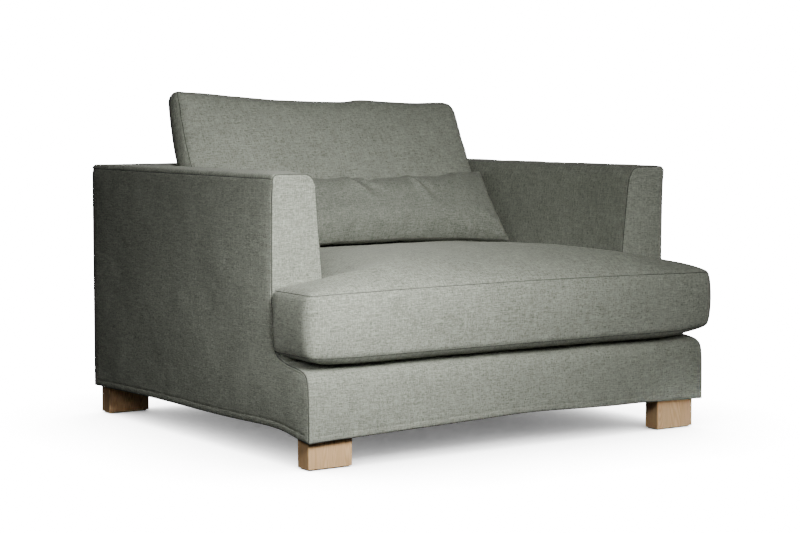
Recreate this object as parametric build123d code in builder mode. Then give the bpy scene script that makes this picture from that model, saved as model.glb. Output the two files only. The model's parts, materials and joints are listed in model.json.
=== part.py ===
from build123d import *
import math
import os

# Deep upholstered armchair: a timber frame with zigzag springs, foam, a fitted cloth cover with a hem,
# four block feet, and three loose cushions: a T-shaped seat cushion, a leaning back cushion and a
# lumbar pillow. Everything is in millimetres. X runs across the chair, -Y is its front and +Z is up.
# The origin is on the floor under the middle of the whole chair. Left and right are as seen from the front.

os.makedirs("parts", exist_ok=True)

# ---- overall sizes
WIDTH = 1100            # over the cover of both arms
BODY_DEPTH = 1033       # front of the base to the back
CUSHION_OVERHANG = 35   # how far the seat cushion stands out in front of the base
ARM_HEIGHT = 620        # floor to the arm tops, and to the top of the back frame
CUSHION_TOP = 795       # floor to the top edge of the back cushion

# ---- outline of the body
LEDGE_DEPTH = 148       # base in front of the arms
LEDGE_TOP = 214         # floor to the ledge in front of the arms
LEDGE_RADIUS = 25       # front edge of the ledge
ARM_FOOT_RADIUS = 45    # hollow curve where an arm's front meets the ledge
ARM_TOP_WIDTH = 108     # arm across its top
ARM_BASE_WIDTH = 145    # arm across its foot, at the deck
ARM_EDGE_RADIUS = 27    # inner top edge of an arm
DECK_TOP = 222          # floor to the deck under the seat cushion
BACK_LEAN = 27          # degrees that the inside of the back leans from upright
BACK_TOP_DEPTH = 840    # base front to the inside of the back, at arm height
BACK_EDGE_RADIUS = 32   # front top edge of the back
HEM = 68                # floor to the lower edge of the cover

# ---- cloth, boards and foam
CLOTH = 2
BOARD = 4
FRONT_FOAM = 4          # foam over the front rail's face
ARM_TOP_FOAM = 23       # foam over the top boards
BACK_FOAM = 30          # foam over the back webbing
SIDE_GAP = 0.5          # between cloth panels that meet at the inside corners
PANEL_RISE = 10         # lower edge of the inside panels above the rails

# ---- timber
RAIL_THICK = 28
RAIL_HEIGHT = 110
FRAME_BOTTOM = 80       # floor to the underside of the rails
TOP_BOARD = 20          # thickness of the arm and back top boards
ARM_TIMBER = 84         # arm frame from side to side
REAR_POST = 56          # rear post from front to back
UPRIGHT_OFFSET = 370    # middle of the chair to the inner face of the back uprights
UPRIGHT_DEPTH = 60      # sloping upright, square to its slope
BLOCK_LEG = 95          # corner block along each rail
BLOCK_HEIGHT = 60

# ---- feet
FOOT_WIDTH = 109
FOOT_DEPTH = 44
FOOT_INSET_SIDE = 13
FOOT_INSET_FRONT = 21
FOOT_INSET_BACK = 16
GLIDE = 3
GLIDE_MARGIN = 5
FOOT_CHAMFER = 1        # upright edges of a foot
DUST_COVER = 1.5

# ---- fasteners
BOLT_RADIUS = 4
BOLT_CLEARANCE = 0.2
BOLT_SPACING = 50       # between a foot's two bolts
BOLT_DEPTH = 40         # into the foot, and into the corner block
BOLT_SETBACK = 15       # bolt axis from a rail's inner face
SCREW_RADIUS = 2.5
SCREW_HEAD = 5
SCREW_HEAD_HEIGHT = 3
SCREW_LENGTH = 68
SCREW_RISE = 30         # lower screw above the rail's underside, and upper screw below its top

# ---- springs and webbing
SPRING_COUNT = 5
SPRING_SPACING = 160
SPRING_WIRE = 1.9       # radius
SPRING_REACH = 24       # half the width of a spring
SPRING_BENDS = 14
SPRING_RADIUS = 15
SPRING_SETBACK = 3.7    # spring's end bar from the face of its rail
SPRING_DROP = 2.4       # spring's middle below the top of the rails
CLIP_WIDTH = 16
CLIP_DEPTH = 7.4
CLIP_HEIGHT = 9
CLIP_CLEARANCE = 0.2
CROSS_WIRE = 1.6        # radius
CROSS_WIRE_AT = (205, 415)
BAND_COUNT = 5
BAND_WIDTH = 50
BAND_SPACING = 80
BAND_THICK = 2
BAND_MIDDLE = 215       # middle band below the top of the back, along its slope

# ---- loose cushions
SEAT_THICK = 200
SEAT_CLEARANCE = 0.4    # over the deck
SEAT_EAR_WIDTH = 545    # middle of the chair to the end of an ear
SEAT_CORNER = 28        # front corners in plan
EAR_GAP = 3             # ear to the arm's front
ARM_GAP = 3             # cushion to the arm's inside
BACK_GAP = 9            # cushions to the inside of the back, where the zips lie
BACK_THICK = 90
BACK_HALF_WIDTH = 419
REST_GAP = 0.4          # between a cushion and the one that it rests on
CASE = 2                # thickness of a cushion's cover
FILL_GAP = 0.3          # between a cushion's cover and its filling
PILLOW_WIDTH = 700
PILLOW_HEIGHT = 220
PILLOW_THICK = 150
PILLOW_LEAN = 39

# ---- zips
ZIP_LENGTH = 620
ZIP_TAPE = 26
ZIP_TAPE_THICK = 1
ZIP_CHAIN = 4.4
ZIP_CHAIN_HEIGHT = 2
SLIDER_LENGTH = 10
SLIDER_WIDTH = 9
SLIDER_HEIGHT = 3.6
SLIDER_CLEARANCE = 0.3
PULL_LENGTH = 18
PULL_WIDTH = 5
PULL_THICK = 1
SEAT_ZIP_RISE = 90      # above the seat cushion's underside
BACK_ZIP_RISE = 60      # above the back cushion's underside

# ---- planes worked out from the sizes above
SIDES = (("left", -1), ("right", 1))
FRONT = CUSHION_OVERHANG - (BODY_DEPTH + CUSHION_OVERHANG) / 2
REAR = FRONT + BODY_DEPTH
SIDE = WIDTH / 2
ARM_FRONT = FRONT + LEDGE_DEPTH
RAIL_TOP = FRAME_BOTTOM + RAIL_HEIGHT
TIMBER_SIDE = SIDE - CLOTH - BOARD
TIMBER_FRONT = FRONT + CLOTH + FRONT_FOAM
TIMBER_REAR = REAR - CLOTH - BOARD
TIMBER_TOP = ARM_HEIGHT - CLOTH - ARM_TOP_FOAM
FRONT_RAIL_BACK = TIMBER_FRONT + RAIL_THICK
REAR_RAIL_FRONT = TIMBER_REAR - RAIL_THICK
SIDE_RAIL_IN = TIMBER_SIDE - RAIL_THICK
ARM_TIMBER_IN = TIMBER_SIDE - ARM_TIMBER
ARM_TAPER = (ARM_BASE_WIDTH - ARM_TOP_WIDTH) / (ARM_HEIGHT - DECK_TOP)
LEAN_SIN = math.sin(math.radians(BACK_LEAN))
LEAN_COS = math.cos(math.radians(BACK_LEAN))
PANEL_FOOT = RAIL_TOP + PANEL_RISE
SEAT_BOTTOM = DECK_TOP + SEAT_CLEARANCE
SEAT_TOP = SEAT_BOTTOM + SEAT_THICK
BACK_BOTTOM = SEAT_TOP + REST_GAP
WEBBING_DEPTH = CLOTH + BACK_FOAM
UPRIGHT_FRONT = WEBBING_DEPTH + BAND_THICK
SPRING_Z = RAIL_TOP - SPRING_DROP


def arm_inside(height, depth=0):
    """Distance from the middle of the chair to an arm's inner face, depth under its surface."""
    return SIDE - ARM_TOP_WIDTH - (ARM_HEIGHT - height) * ARM_TAPER + depth


def back_inside(height, depth=0):
    """Y of the leaning inside of the back at a height, depth behind its surface."""
    lean = (ARM_HEIGHT - height) * LEAN_SIN / LEAN_COS
    return FRONT + BACK_TOP_DEPTH - lean + depth / LEAN_COS


def back_point(along, depth):
    """(y, z) of a point that far up the slope from arm height, and depth behind its surface."""
    y = FRONT + BACK_TOP_DEPTH + along * LEAN_SIN + depth * LEAN_COS
    z = ARM_HEIGHT + along * LEAN_COS - depth * LEAN_SIN
    return y, z


def back_along(height, depth):
    """Distance up the slope from arm height of the point at that height and depth."""
    return (height - ARM_HEIGHT + depth * LEAN_SIN) / LEAN_COS


def back_plane(along, depth):
    """Plane that faces back and down off the slope, with X along the chair."""
    y, z = back_point(along, depth)
    return Plane(origin=(0, y, z), x_dir=(-1, 0, 0), z_dir=(0, LEAN_COS, -LEAN_SIN))


def save(piece, name):
    piece.part.label = name
    export_step(piece.part, f"parts/{name}.step")


def outline(points, radii=None):
    """Closed outline through the points, with the corners in radii ({point number: radius}) rounded."""
    with BuildSketch() as shape:
        with BuildLine():
            Polyline(*points, close=True)
        make_face()
        for number, radius in (radii or {}).items():
            corner = Vector(*points[number], 0)
            fillet(shape.vertices().sort_by_distance(corner)[0], radius)
    return shape.sketch


def slab(x_span, y_span, z_span):
    """Rectangular block between three pairs of planes."""
    size = [high - low for low, high in (x_span, y_span, z_span)]
    middle = [(low + high) / 2 for low, high in (x_span, y_span, z_span)]
    with BuildPart() as block:
        with Locations(tuple(middle)):
            Box(*size)
    return block.part


def mirrored(side, near, far):
    """Span between two distances from the middle of the chair, on one side of it."""
    return tuple(sorted((side * near, side * far)))


def board(name, x_span, y_span, z_span):
    with BuildPart() as piece:
        add(slab(x_span, y_span, z_span))
    save(piece, name)


def profile_across(shapes, x_span):
    """A (y, z) outline, less any further ones, drawn out along X."""
    with BuildPart() as bar:
        with BuildSketch(Plane.YZ.offset(x_span[0])):
            add(shapes[0])
            for cut in shapes[1:]:
                add(cut, mode=Mode.SUBTRACT)
        extrude(amount=x_span[1] - x_span[0])
    return bar.part


def profile_along(shapes, y_span):
    """An (x, z) outline, less any further ones, drawn out along Y."""
    with BuildPart() as bar:
        with BuildSketch(Plane.XZ.offset(-y_span[0])):
            add(shapes[0])
            for cut in shapes[1:]:
                add(cut, mode=Mode.SUBTRACT)
        extrude(amount=y_span[0] - y_span[1])
    return bar.part


def between_arms(low, high):
    """Everything between the insides of the two arms, from one height to another."""
    foot = arm_inside(low) - SIDE_GAP
    top = arm_inside(high) - SIDE_GAP
    wedge = outline([(-foot, low), (foot, low), (top, high), (-top, high)])
    return profile_along([wedge], (FRONT, REAR))


# ---- timber frame

def rail_screws():
    """(x, z) of the screws that hold each end of the front and rear rails to the side rails."""
    x = TIMBER_SIDE - RAIL_THICK / 2
    heights = (FRAME_BOTTOM + SCREW_RISE, RAIL_TOP - SCREW_RISE)
    return [(side * x, z) for _, side in SIDES for z in heights]


def screw_at(face, inward, radius_gap=0):
    """The rail screws whose heads lie in the face at that y and point inward, 1 or -1 along Y."""
    with BuildPart() as screws:
        for x, z in rail_screws():
            with Locations(Location((x, face, z), (-90 * inward, 0, 0))):
                Cylinder(SCREW_RADIUS + radius_gap, SCREW_LENGTH + radius_gap,
                         align=(Align.CENTER, Align.CENTER, Align.MIN))
                Cylinder(SCREW_HEAD + radius_gap, SCREW_HEAD_HEIGHT + radius_gap,
                         align=(Align.CENTER, Align.CENTER, Align.MIN))
    return screws.part


def frame_screws():
    with BuildPart() as piece:
        add(screw_at(TIMBER_FRONT, 1))
        add(screw_at(TIMBER_REAR, -1))
    save(piece, "frame_screws")


def seat_rails():
    for name, y_span, face, inward in (
        ("front_rail", (TIMBER_FRONT, FRONT_RAIL_BACK), TIMBER_FRONT, 1),
        ("rear_rail", (REAR_RAIL_FRONT, TIMBER_REAR), TIMBER_REAR, -1),
    ):
        with BuildPart() as piece:
            add(slab((-TIMBER_SIDE, TIMBER_SIDE), y_span, (FRAME_BOTTOM, RAIL_TOP)))
            add(screw_at(face, inward, BOLT_CLEARANCE), mode=Mode.SUBTRACT)
        save(piece, name)
    for name, side in SIDES:
        with BuildPart() as piece:
            add(slab(mirrored(side, SIDE_RAIL_IN, TIMBER_SIDE), (FRONT_RAIL_BACK, REAR_RAIL_FRONT),
                     (FRAME_BOTTOM, RAIL_TOP)))
            add(screw_at(TIMBER_FRONT, 1, BOLT_CLEARANCE), mode=Mode.SUBTRACT)
            add(screw_at(TIMBER_REAR, -1, BOLT_CLEARANCE), mode=Mode.SUBTRACT)
        save(piece, f"{name}_side_rail")


def spring_rail_front():
    """Y of the face that the springs' rear ends hook on, under the foot of the sloping uprights."""
    return back_inside(RAIL_TOP, UPRIGHT_FRONT)


def spring_rail():
    front = spring_rail_front()
    board("spring_rail", (-SIDE_RAIL_IN, SIDE_RAIL_IN), (front, front + RAIL_THICK),
          (FRAME_BOTTOM, RAIL_TOP))


def foot_bolt_points():
    """(x, y) of every foot bolt."""
    middle = SIDE - FOOT_INSET_SIDE - FOOT_WIDTH / 2
    rows = (FRONT_RAIL_BACK + BOLT_SETBACK, REAR_RAIL_FRONT - BOLT_SETBACK)
    return [(side * (middle + step), y) for _, side in SIDES for y in rows
            for step in (-BOLT_SPACING / 2, BOLT_SPACING / 2)]


def foot_bolts_solid(radius_gap=0):
    with BuildPart() as bolts:
        for x, y in foot_bolt_points():
            with Locations((x, y, FRAME_BOTTOM)):
                Cylinder(BOLT_RADIUS + radius_gap, 2 * (BOLT_DEPTH + radius_gap))
    return bolts.part


def foot_bolts():
    with BuildPart() as piece:
        add(foot_bolts_solid())
    save(piece, "foot_bolts")


def corner_blocks():
    with BuildPart() as piece:
        for _, side in SIDES:
            for face, inward in ((FRONT_RAIL_BACK, 1), (REAR_RAIL_FRONT, -1)):
                corner = (side * SIDE_RAIL_IN, face)
                with BuildSketch(Plane.XY.offset(FRAME_BOTTOM)):
                    add(outline([corner, (corner[0] - side * BLOCK_LEG, face),
                                 (corner[0], face + inward * BLOCK_LEG)]))
                extrude(amount=BLOCK_HEIGHT)
        add(foot_bolts_solid(BOLT_CLEARANCE), mode=Mode.SUBTRACT)
    save(piece, "corner_blocks")


def arm_timber():
    for name, side in SIDES:
        across = mirrored(side, ARM_TIMBER_IN, TIMBER_SIDE)
        post_span = (RAIL_TOP, TIMBER_TOP - TOP_BOARD)
        inside = ARM_FRONT + CLOTH
        board(f"{name}_arm_front_post", across, (inside, inside + RAIL_THICK), post_span)
        board(f"{name}_arm_rear_post", across, (TIMBER_REAR - REAR_POST, TIMBER_REAR), post_span)
        board(f"{name}_arm_top_board", across, (inside, TIMBER_REAR), (TIMBER_TOP - TOP_BOARD, TIMBER_TOP))
        board(f"{name}_arm_inner_board", mirrored(side, ARM_TIMBER_IN - BOARD, ARM_TIMBER_IN),
              (inside, TIMBER_REAR), (RAIL_TOP, TIMBER_TOP))


def back_timber():
    top = TIMBER_TOP - TOP_BOARD
    slope = outline([
        (back_inside(RAIL_TOP, UPRIGHT_FRONT), RAIL_TOP),
        (back_inside(RAIL_TOP, UPRIGHT_FRONT + UPRIGHT_DEPTH), RAIL_TOP),
        (back_inside(top, UPRIGHT_FRONT + UPRIGHT_DEPTH), top),
        (back_inside(top, UPRIGHT_FRONT), top),
    ])
    for name, side in SIDES:
        across = mirrored(side, UPRIGHT_OFFSET, UPRIGHT_OFFSET + RAIL_THICK)
        with BuildPart() as piece:
            add(profile_across([slope], across))
        save(piece, f"{name}_back_slope")
        board(f"{name}_back_upright", across, (REAR_RAIL_FRONT, TIMBER_REAR), (RAIL_TOP, top))
    half = arm_inside(top) - SIDE_GAP
    board("back_top_board", (-half, half), (back_inside(TIMBER_TOP, UPRIGHT_FRONT), TIMBER_REAR),
          (top, TIMBER_TOP))


def outer_boards():
    inside = FRONT + CLOTH
    arm = ARM_FRONT + CLOTH
    rear = REAR - CLOTH
    ledge = LEDGE_TOP - CLOTH
    panel = outline(
        [(inside, FRAME_BOTTOM), (inside, ledge), (arm, ledge), (arm, TIMBER_TOP), (rear, TIMBER_TOP),
         (rear, FRAME_BOTTOM)], {1: LEDGE_RADIUS - CLOTH})
    for name, side in SIDES:
        with BuildPart() as piece:
            add(profile_across([panel], mirrored(side, TIMBER_SIDE, SIDE - CLOTH)))
        save(piece, f"{name}_outer_board")
    board("back_outer_board", (-TIMBER_SIDE, TIMBER_SIDE), (TIMBER_REAR, rear),
          (FRAME_BOTTOM, ARM_HEIGHT - CLOTH))


# ---- springs and webbing

def spring_ends():
    return FRONT_RAIL_BACK + SPRING_SETBACK, spring_rail_front() - SPRING_SETBACK


def spring_lanes():
    return [SPRING_SPACING * (n - (SPRING_COUNT - 1) / 2) for n in range(SPRING_COUNT)]


def spring_points(lane):
    """Corners of one zigzag spring, bar by bar from its front end to its rear end."""
    start, end = spring_ends()
    points = []
    for bar in range(SPRING_BENDS + 1):
        y = start + (end - start) * bar / SPRING_BENDS
        first = lane - SPRING_REACH if bar % 2 == 0 else lane + SPRING_REACH
        last = 2 * lane - first
        points += [(first, y, SPRING_Z), (last, y, SPRING_Z)]
    return points


def seat_springs():
    with BuildPart() as piece:
        for lane in spring_lanes():
            points = spring_points(lane)
            with BuildLine() as path:
                FilletPolyline(*points, radius=SPRING_RADIUS)
            with BuildSketch(Plane(origin=points[0], z_dir=(1, 0, 0))):
                Circle(SPRING_WIRE)
            sweep(path=path.wire())
    save(piece, "seat_springs")


def spring_clips():
    slot = SPRING_WIRE + CLIP_CLEARANCE
    with BuildPart() as piece:
        for lane in spring_lanes():
            across = (lane - CLIP_WIDTH / 2, lane + CLIP_WIDTH / 2)
            heights = (RAIL_TOP - CLIP_HEIGHT, RAIL_TOP)
            front, rear = spring_ends()
            add(slab(across, (FRONT_RAIL_BACK, FRONT_RAIL_BACK + CLIP_DEPTH), heights))
            add(slab(across, (spring_rail_front() - CLIP_DEPTH, spring_rail_front()), heights))
            for y in (front, rear):
                add(slab(across, (y - slot, y + slot), (SPRING_Z - slot, RAIL_TOP)), mode=Mode.SUBTRACT)
    save(piece, "spring_clips")


def cross_wires():
    height = SPRING_Z - SPRING_WIRE - CLIP_CLEARANCE - CROSS_WIRE
    with BuildPart() as piece:
        for step in CROSS_WIRE_AT:
            with Locations(Location((0, FRONT_RAIL_BACK + step, height), (0, 90, 0))):
                Cylinder(CROSS_WIRE, 2 * SIDE_RAIL_IN)
    save(piece, "cross_wires")


def back_webbing():
    with BuildPart() as piece:
        for n in range(BAND_COUNT):
            along = (n - (BAND_COUNT - 1) / 2) * BAND_SPACING - BAND_MIDDLE
            with BuildSketch(back_plane(along, WEBBING_DEPTH)):
                Rectangle(2 * (UPRIGHT_OFFSET + RAIL_THICK), BAND_WIDTH)
            extrude(amount=BAND_THICK)
    save(piece, "back_webbing")


# ---- foam

def deck_pad():
    half = arm_inside(RAIL_TOP) - 2 * SIDE_GAP
    rear = back_inside(RAIL_TOP) - SIDE_GAP
    board("deck_pad", (-half, half), (ARM_FRONT + CLOTH, rear), (RAIL_TOP, DECK_TOP - CLOTH))


def front_foam():
    inside = FRONT + CLOTH
    shape = outline(
        [(inside, FRAME_BOTTOM), (inside, LEDGE_TOP - CLOTH), (ARM_FRONT + CLOTH, LEDGE_TOP - CLOTH),
         (ARM_FRONT + CLOTH, RAIL_TOP), (TIMBER_FRONT, RAIL_TOP), (TIMBER_FRONT, FRAME_BOTTOM)],
        {1: LEDGE_RADIUS - CLOTH})
    with BuildPart() as piece:
        add(profile_across([shape], (-TIMBER_SIDE, TIMBER_SIDE)))
    save(piece, "front_foam")


def arm_foam():
    top = ARM_HEIGHT - CLOTH
    liner = ARM_TIMBER_IN - BOARD
    for name, side in SIDES:
        corners = [(liner, RAIL_TOP), (arm_inside(RAIL_TOP, CLOTH), RAIL_TOP), (arm_inside(top, CLOTH), top),
                   (SIDE - CLOTH, top), (SIDE - CLOTH, TIMBER_TOP), (liner, TIMBER_TOP)]
        shape = outline([(side * x, z) for x, z in corners], {2: ARM_EDGE_RADIUS - CLOTH})
        with BuildPart() as piece:
            add(profile_along([shape], (ARM_FRONT + CLOTH, TIMBER_REAR)))
        save(piece, f"{name}_arm_foam")


def back_outline(depth, rear):
    """Outline of the leaning back from its foot over its top to the rear, depth under its surface."""
    top = ARM_HEIGHT - depth
    corners = [(back_inside(PANEL_FOOT, depth), PANEL_FOOT), (back_inside(top, depth), top), (rear, top),
               (rear, PANEL_FOOT)]
    return outline(corners, {1: BACK_EDGE_RADIUS - depth})


def back_foam():
    hollow = outline([(back_inside(PANEL_FOOT, WEBBING_DEPTH), PANEL_FOOT),
                      (back_inside(TIMBER_TOP, WEBBING_DEPTH), TIMBER_TOP),
                      (REAR, TIMBER_TOP), (REAR, PANEL_FOOT)])
    with BuildPart() as piece:
        add(profile_across([back_outline(CLOTH, TIMBER_REAR), hollow], (-SIDE, SIDE)))
        add(between_arms(PANEL_FOOT, ARM_HEIGHT), mode=Mode.INTERSECT)
    save(piece, "back_foam")


# ---- fitted cover

def side_covers():
    corners = [(FRONT, HEM), (FRONT, LEDGE_TOP), (ARM_FRONT, LEDGE_TOP), (ARM_FRONT, ARM_HEIGHT),
               (REAR, ARM_HEIGHT), (REAR, HEM)]
    panel = outline(corners, {1: LEDGE_RADIUS, 2: ARM_FOOT_RADIUS})
    for name, side in SIDES:
        with BuildPart() as piece:
            add(profile_across([panel], mirrored(side, SIDE - CLOTH, SIDE)))
        save(piece, f"{name}_side_cover")


def arm_covers():
    for name, side in SIDES:
        front = [(SIDE - CLOTH, LEDGE_TOP), (arm_inside(LEDGE_TOP), LEDGE_TOP),
                 (arm_inside(ARM_HEIGHT), ARM_HEIGHT), (SIDE - CLOTH, ARM_HEIGHT)]
        with BuildPart() as piece:
            add(profile_along([outline([(side * x, z) for x, z in front], {2: ARM_EDGE_RADIUS})],
                              (ARM_FRONT, ARM_FRONT + CLOTH)))
        save(piece, f"{name}_arm_front_cover")
        shapes = []
        for depth in (0, CLOTH):
            top = ARM_HEIGHT - depth
            wrap = [(SIDE - CLOTH, PANEL_FOOT), (arm_inside(PANEL_FOOT, depth), PANEL_FOOT),
                    (arm_inside(top, depth), top), (SIDE - CLOTH, top)]
            shapes.append(outline([(side * x, z) for x, z in wrap], {2: ARM_EDGE_RADIUS - depth}))
        with BuildPart() as piece:
            add(profile_along(shapes, (ARM_FRONT + CLOTH, TIMBER_REAR)))
        save(piece, f"{name}_arm_wrap_cover")


def front_cover():
    end = ARM_FRONT + CLOTH
    skin = outline([(FRONT, HEM), (FRONT, LEDGE_TOP), (end, LEDGE_TOP), (end, HEM)], {1: LEDGE_RADIUS})
    core = outline([(FRONT + CLOTH, HEM), (FRONT + CLOTH, LEDGE_TOP - CLOTH), (end, LEDGE_TOP - CLOTH),
                    (end, HEM)], {1: LEDGE_RADIUS - CLOTH})
    with BuildPart() as piece:
        add(profile_across([skin, core], (-SIDE + CLOTH, SIDE - CLOTH)))
    save(piece, "front_cover")


def deck_cover():
    half = arm_inside(DECK_TOP - CLOTH) - SIDE_GAP
    rear = back_inside(DECK_TOP - CLOTH) - SIDE_GAP
    board("deck_cover", (-half, half), (ARM_FRONT + CLOTH, rear), (DECK_TOP - CLOTH, DECK_TOP))


def back_covers():
    rear = REAR - CLOTH
    with BuildPart() as piece:
        add(profile_across([back_outline(0, rear), back_outline(CLOTH, rear)], (-SIDE, SIDE)))
        add(between_arms(PANEL_FOOT, ARM_HEIGHT), mode=Mode.INTERSECT)
    save(piece, "back_inner_cover")
    board("back_outer_cover", (-SIDE + CLOTH, SIDE - CLOTH), (rear, REAR), (HEM, ARM_HEIGHT))


def dust_cover():
    with BuildPart() as piece:
        add(slab((-TIMBER_SIDE, TIMBER_SIDE), (TIMBER_FRONT, TIMBER_REAR),
                 (FRAME_BOTTOM - DUST_COVER, FRAME_BOTTOM)))
        add(foot_bolts_solid(BOLT_CLEARANCE), mode=Mode.SUBTRACT)
    save(piece, "dust_cover")


# ---- feet

def foot_spans(side, end):
    """X and Y spans of the foot on one side, at the front (-1) or the back (1)."""
    outer = SIDE - FOOT_INSET_SIDE
    if end < 0:
        y_span = (FRONT + FOOT_INSET_FRONT, FRONT + FOOT_INSET_FRONT + FOOT_DEPTH)
    else:
        y_span = (REAR - FOOT_INSET_BACK - FOOT_DEPTH, REAR - FOOT_INSET_BACK)
    return mirrored(side, outer - FOOT_WIDTH, outer), y_span


def feet():
    for name, side in SIDES:
        for place, end in (("front", -1), ("rear", 1)):
            x_span, y_span = foot_spans(side, end)
            with BuildPart() as piece:
                add(slab(x_span, y_span, (GLIDE, FRAME_BOTTOM - DUST_COVER)))
                chamfer(piece.edges().filter_by(Axis.Z), FOOT_CHAMFER)
                add(foot_bolts_solid(BOLT_CLEARANCE), mode=Mode.SUBTRACT)
            save(piece, f"{place}_{name}_foot")


def foot_glides():
    with BuildPart() as piece:
        for _, side in SIDES:
            for end in (-1, 1):
                spans = [(low + GLIDE_MARGIN, high - GLIDE_MARGIN) for low, high in foot_spans(side, end)]
                add(slab(*spans, (0, GLIDE)))
    save(piece, "foot_glides")


# ---- loose cushions

def seat_form(inset):
    """T-shaped seat cushion with its rear parallel to the back, drawn in by inset all round."""
    front = FRONT - CUSHION_OVERHANG + inset
    ear = SEAT_EAR_WIDTH - inset
    ear_rear = ARM_FRONT - EAR_GAP - inset
    half = arm_inside(DECK_TOP) - ARM_GAP - inset
    low = SEAT_BOTTOM + inset
    high = SEAT_TOP - inset
    corners = [(-ear, front), (ear, front), (ear, ear_rear), (half, ear_rear), (half, REAR), (-half, REAR),
               (-half, ear_rear), (-ear, ear_rear)]
    plan = outline(corners, {0: SEAT_CORNER - inset, 1: SEAT_CORNER - inset})
    depth = -BACK_GAP - inset
    section = outline([(front, low), (back_inside(low, depth), low), (back_inside(high, depth), high),
                       (front, high)])
    with BuildPart() as form:
        with BuildSketch(Plane.XY.offset(low)):
            add(plan)
        extrude(amount=high - low)
        add(profile_across([section], (-SIDE, SIDE)), mode=Mode.INTERSECT)
    return form.part


def back_form(inset):
    """Back cushion that leans on the back and stands on the seat cushion, drawn in by inset all round."""
    rear = -BACK_GAP - inset
    front = -BACK_GAP - BACK_THICK + inset
    foot = BACK_BOTTOM + inset
    top = back_along(CUSHION_TOP, front - inset) - inset
    section = outline([(back_inside(foot, front), foot), (back_inside(foot, rear), foot),
                       back_point(top, rear), back_point(top, front)])
    return profile_across([section], (-BACK_HALF_WIDTH + inset, BACK_HALF_WIDTH - inset))


def pillow_place():
    """(y, z) of the pillow's middle, where it rests on the seat cushion and against the back cushion."""
    lean = math.radians(PILLOW_LEAN)
    tilt = lean - math.radians(BACK_LEAN)
    down = math.hypot(PILLOW_HEIGHT / 2 * math.cos(lean), PILLOW_THICK / 2 * math.sin(lean))
    reach = math.hypot(PILLOW_HEIGHT / 2 * math.sin(tilt), PILLOW_THICK / 2 * math.cos(tilt))
    z = SEAT_TOP + REST_GAP + down
    return back_inside(z, -BACK_GAP - BACK_THICK - REST_GAP - reach), z


def pillow_form(inset):
    half = PILLOW_WIDTH / 2 - inset
    with BuildPart() as form:
        with BuildSketch(Plane.YZ.offset(-half)):
            with Locations(pillow_place()):
                Ellipse(PILLOW_HEIGHT / 2 - inset, PILLOW_THICK / 2 - inset, rotation=90 - PILLOW_LEAN)
        extrude(amount=2 * half)
    return form.part


def cushions():
    forms = (("seat_cushion", seat_form), ("back_cushion", back_form), ("lumbar_pillow", pillow_form))
    for name, form in forms:
        with BuildPart() as cover:
            add(form(0))
            add(form(CASE), mode=Mode.SUBTRACT)
        save(cover, f"{name}_cover")
        with BuildPart() as filling:
            add(form(CASE + FILL_GAP))
        save(filling, f"{name}_filling")


def zip_chain(length, grow=0):
    """Teeth of a zip on the tape, standing on the XY plane along X."""
    with BuildPart() as chain:
        with Locations((0, 0, ZIP_TAPE_THICK - grow)):
            Box(length, ZIP_CHAIN + 2 * grow, ZIP_CHAIN_HEIGHT + 2 * grow,
                align=(Align.CENTER, Align.CENTER, Align.MIN))
    return chain.part


def zip_tape():
    with BuildPart() as tape:
        Box(ZIP_LENGTH, ZIP_TAPE, ZIP_TAPE_THICK, align=(Align.CENTER, Align.CENTER, Align.MIN))
        add(zip_chain(ZIP_LENGTH))
    return tape.part


def zip_slider():
    """Slider that wraps the teeth at the zip's closed end, with its pull lying along the tape."""
    end = ZIP_LENGTH / 2 - SLIDER_LENGTH
    base = ZIP_TAPE_THICK + SLIDER_CLEARANCE
    with BuildPart() as slider:
        with Locations((end, 0, base)):
            Box(SLIDER_LENGTH, SLIDER_WIDTH, SLIDER_HEIGHT, align=(Align.CENTER, Align.CENTER, Align.MIN))
        add(zip_chain(2 * ZIP_LENGTH, SLIDER_CLEARANCE), mode=Mode.SUBTRACT)
        with Locations((end, 0, base + SLIDER_HEIGHT - PULL_THICK)):
            Box(PULL_LENGTH, PULL_WIDTH, PULL_THICK, align=(Align.MAX, Align.CENTER, Align.MIN))
    return slider.part


def zips():
    places = (
        ("seat_cushion", back_along(SEAT_BOTTOM + SEAT_ZIP_RISE, -BACK_GAP)),
        ("back_cushion", back_along(BACK_BOTTOM + BACK_ZIP_RISE, -BACK_GAP)),
    )
    for name, along in places:
        plane = back_plane(along, -BACK_GAP)
        with BuildPart() as tape:
            add(plane * zip_tape())
        save(tape, f"{name}_zip")
        with BuildPart() as slider:
            add(plane * zip_slider())
        save(slider, f"{name}_zip_slider")


for make in (
    seat_rails, spring_rail, frame_screws, corner_blocks, foot_bolts, arm_timber, back_timber, outer_boards,
    seat_springs, spring_clips, cross_wires, back_webbing,
    deck_pad, front_foam, arm_foam, back_foam,
    side_covers, arm_covers, front_cover, deck_cover, back_covers, dust_cover,
    feet, foot_glides, cushions, zips,
):
    make()
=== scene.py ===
import json
import math
import bpy
import bmesh
import numpy as np
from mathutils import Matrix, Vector, kdtree, noise
from mathutils.geometry import delaunay_2d_cdt

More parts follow.
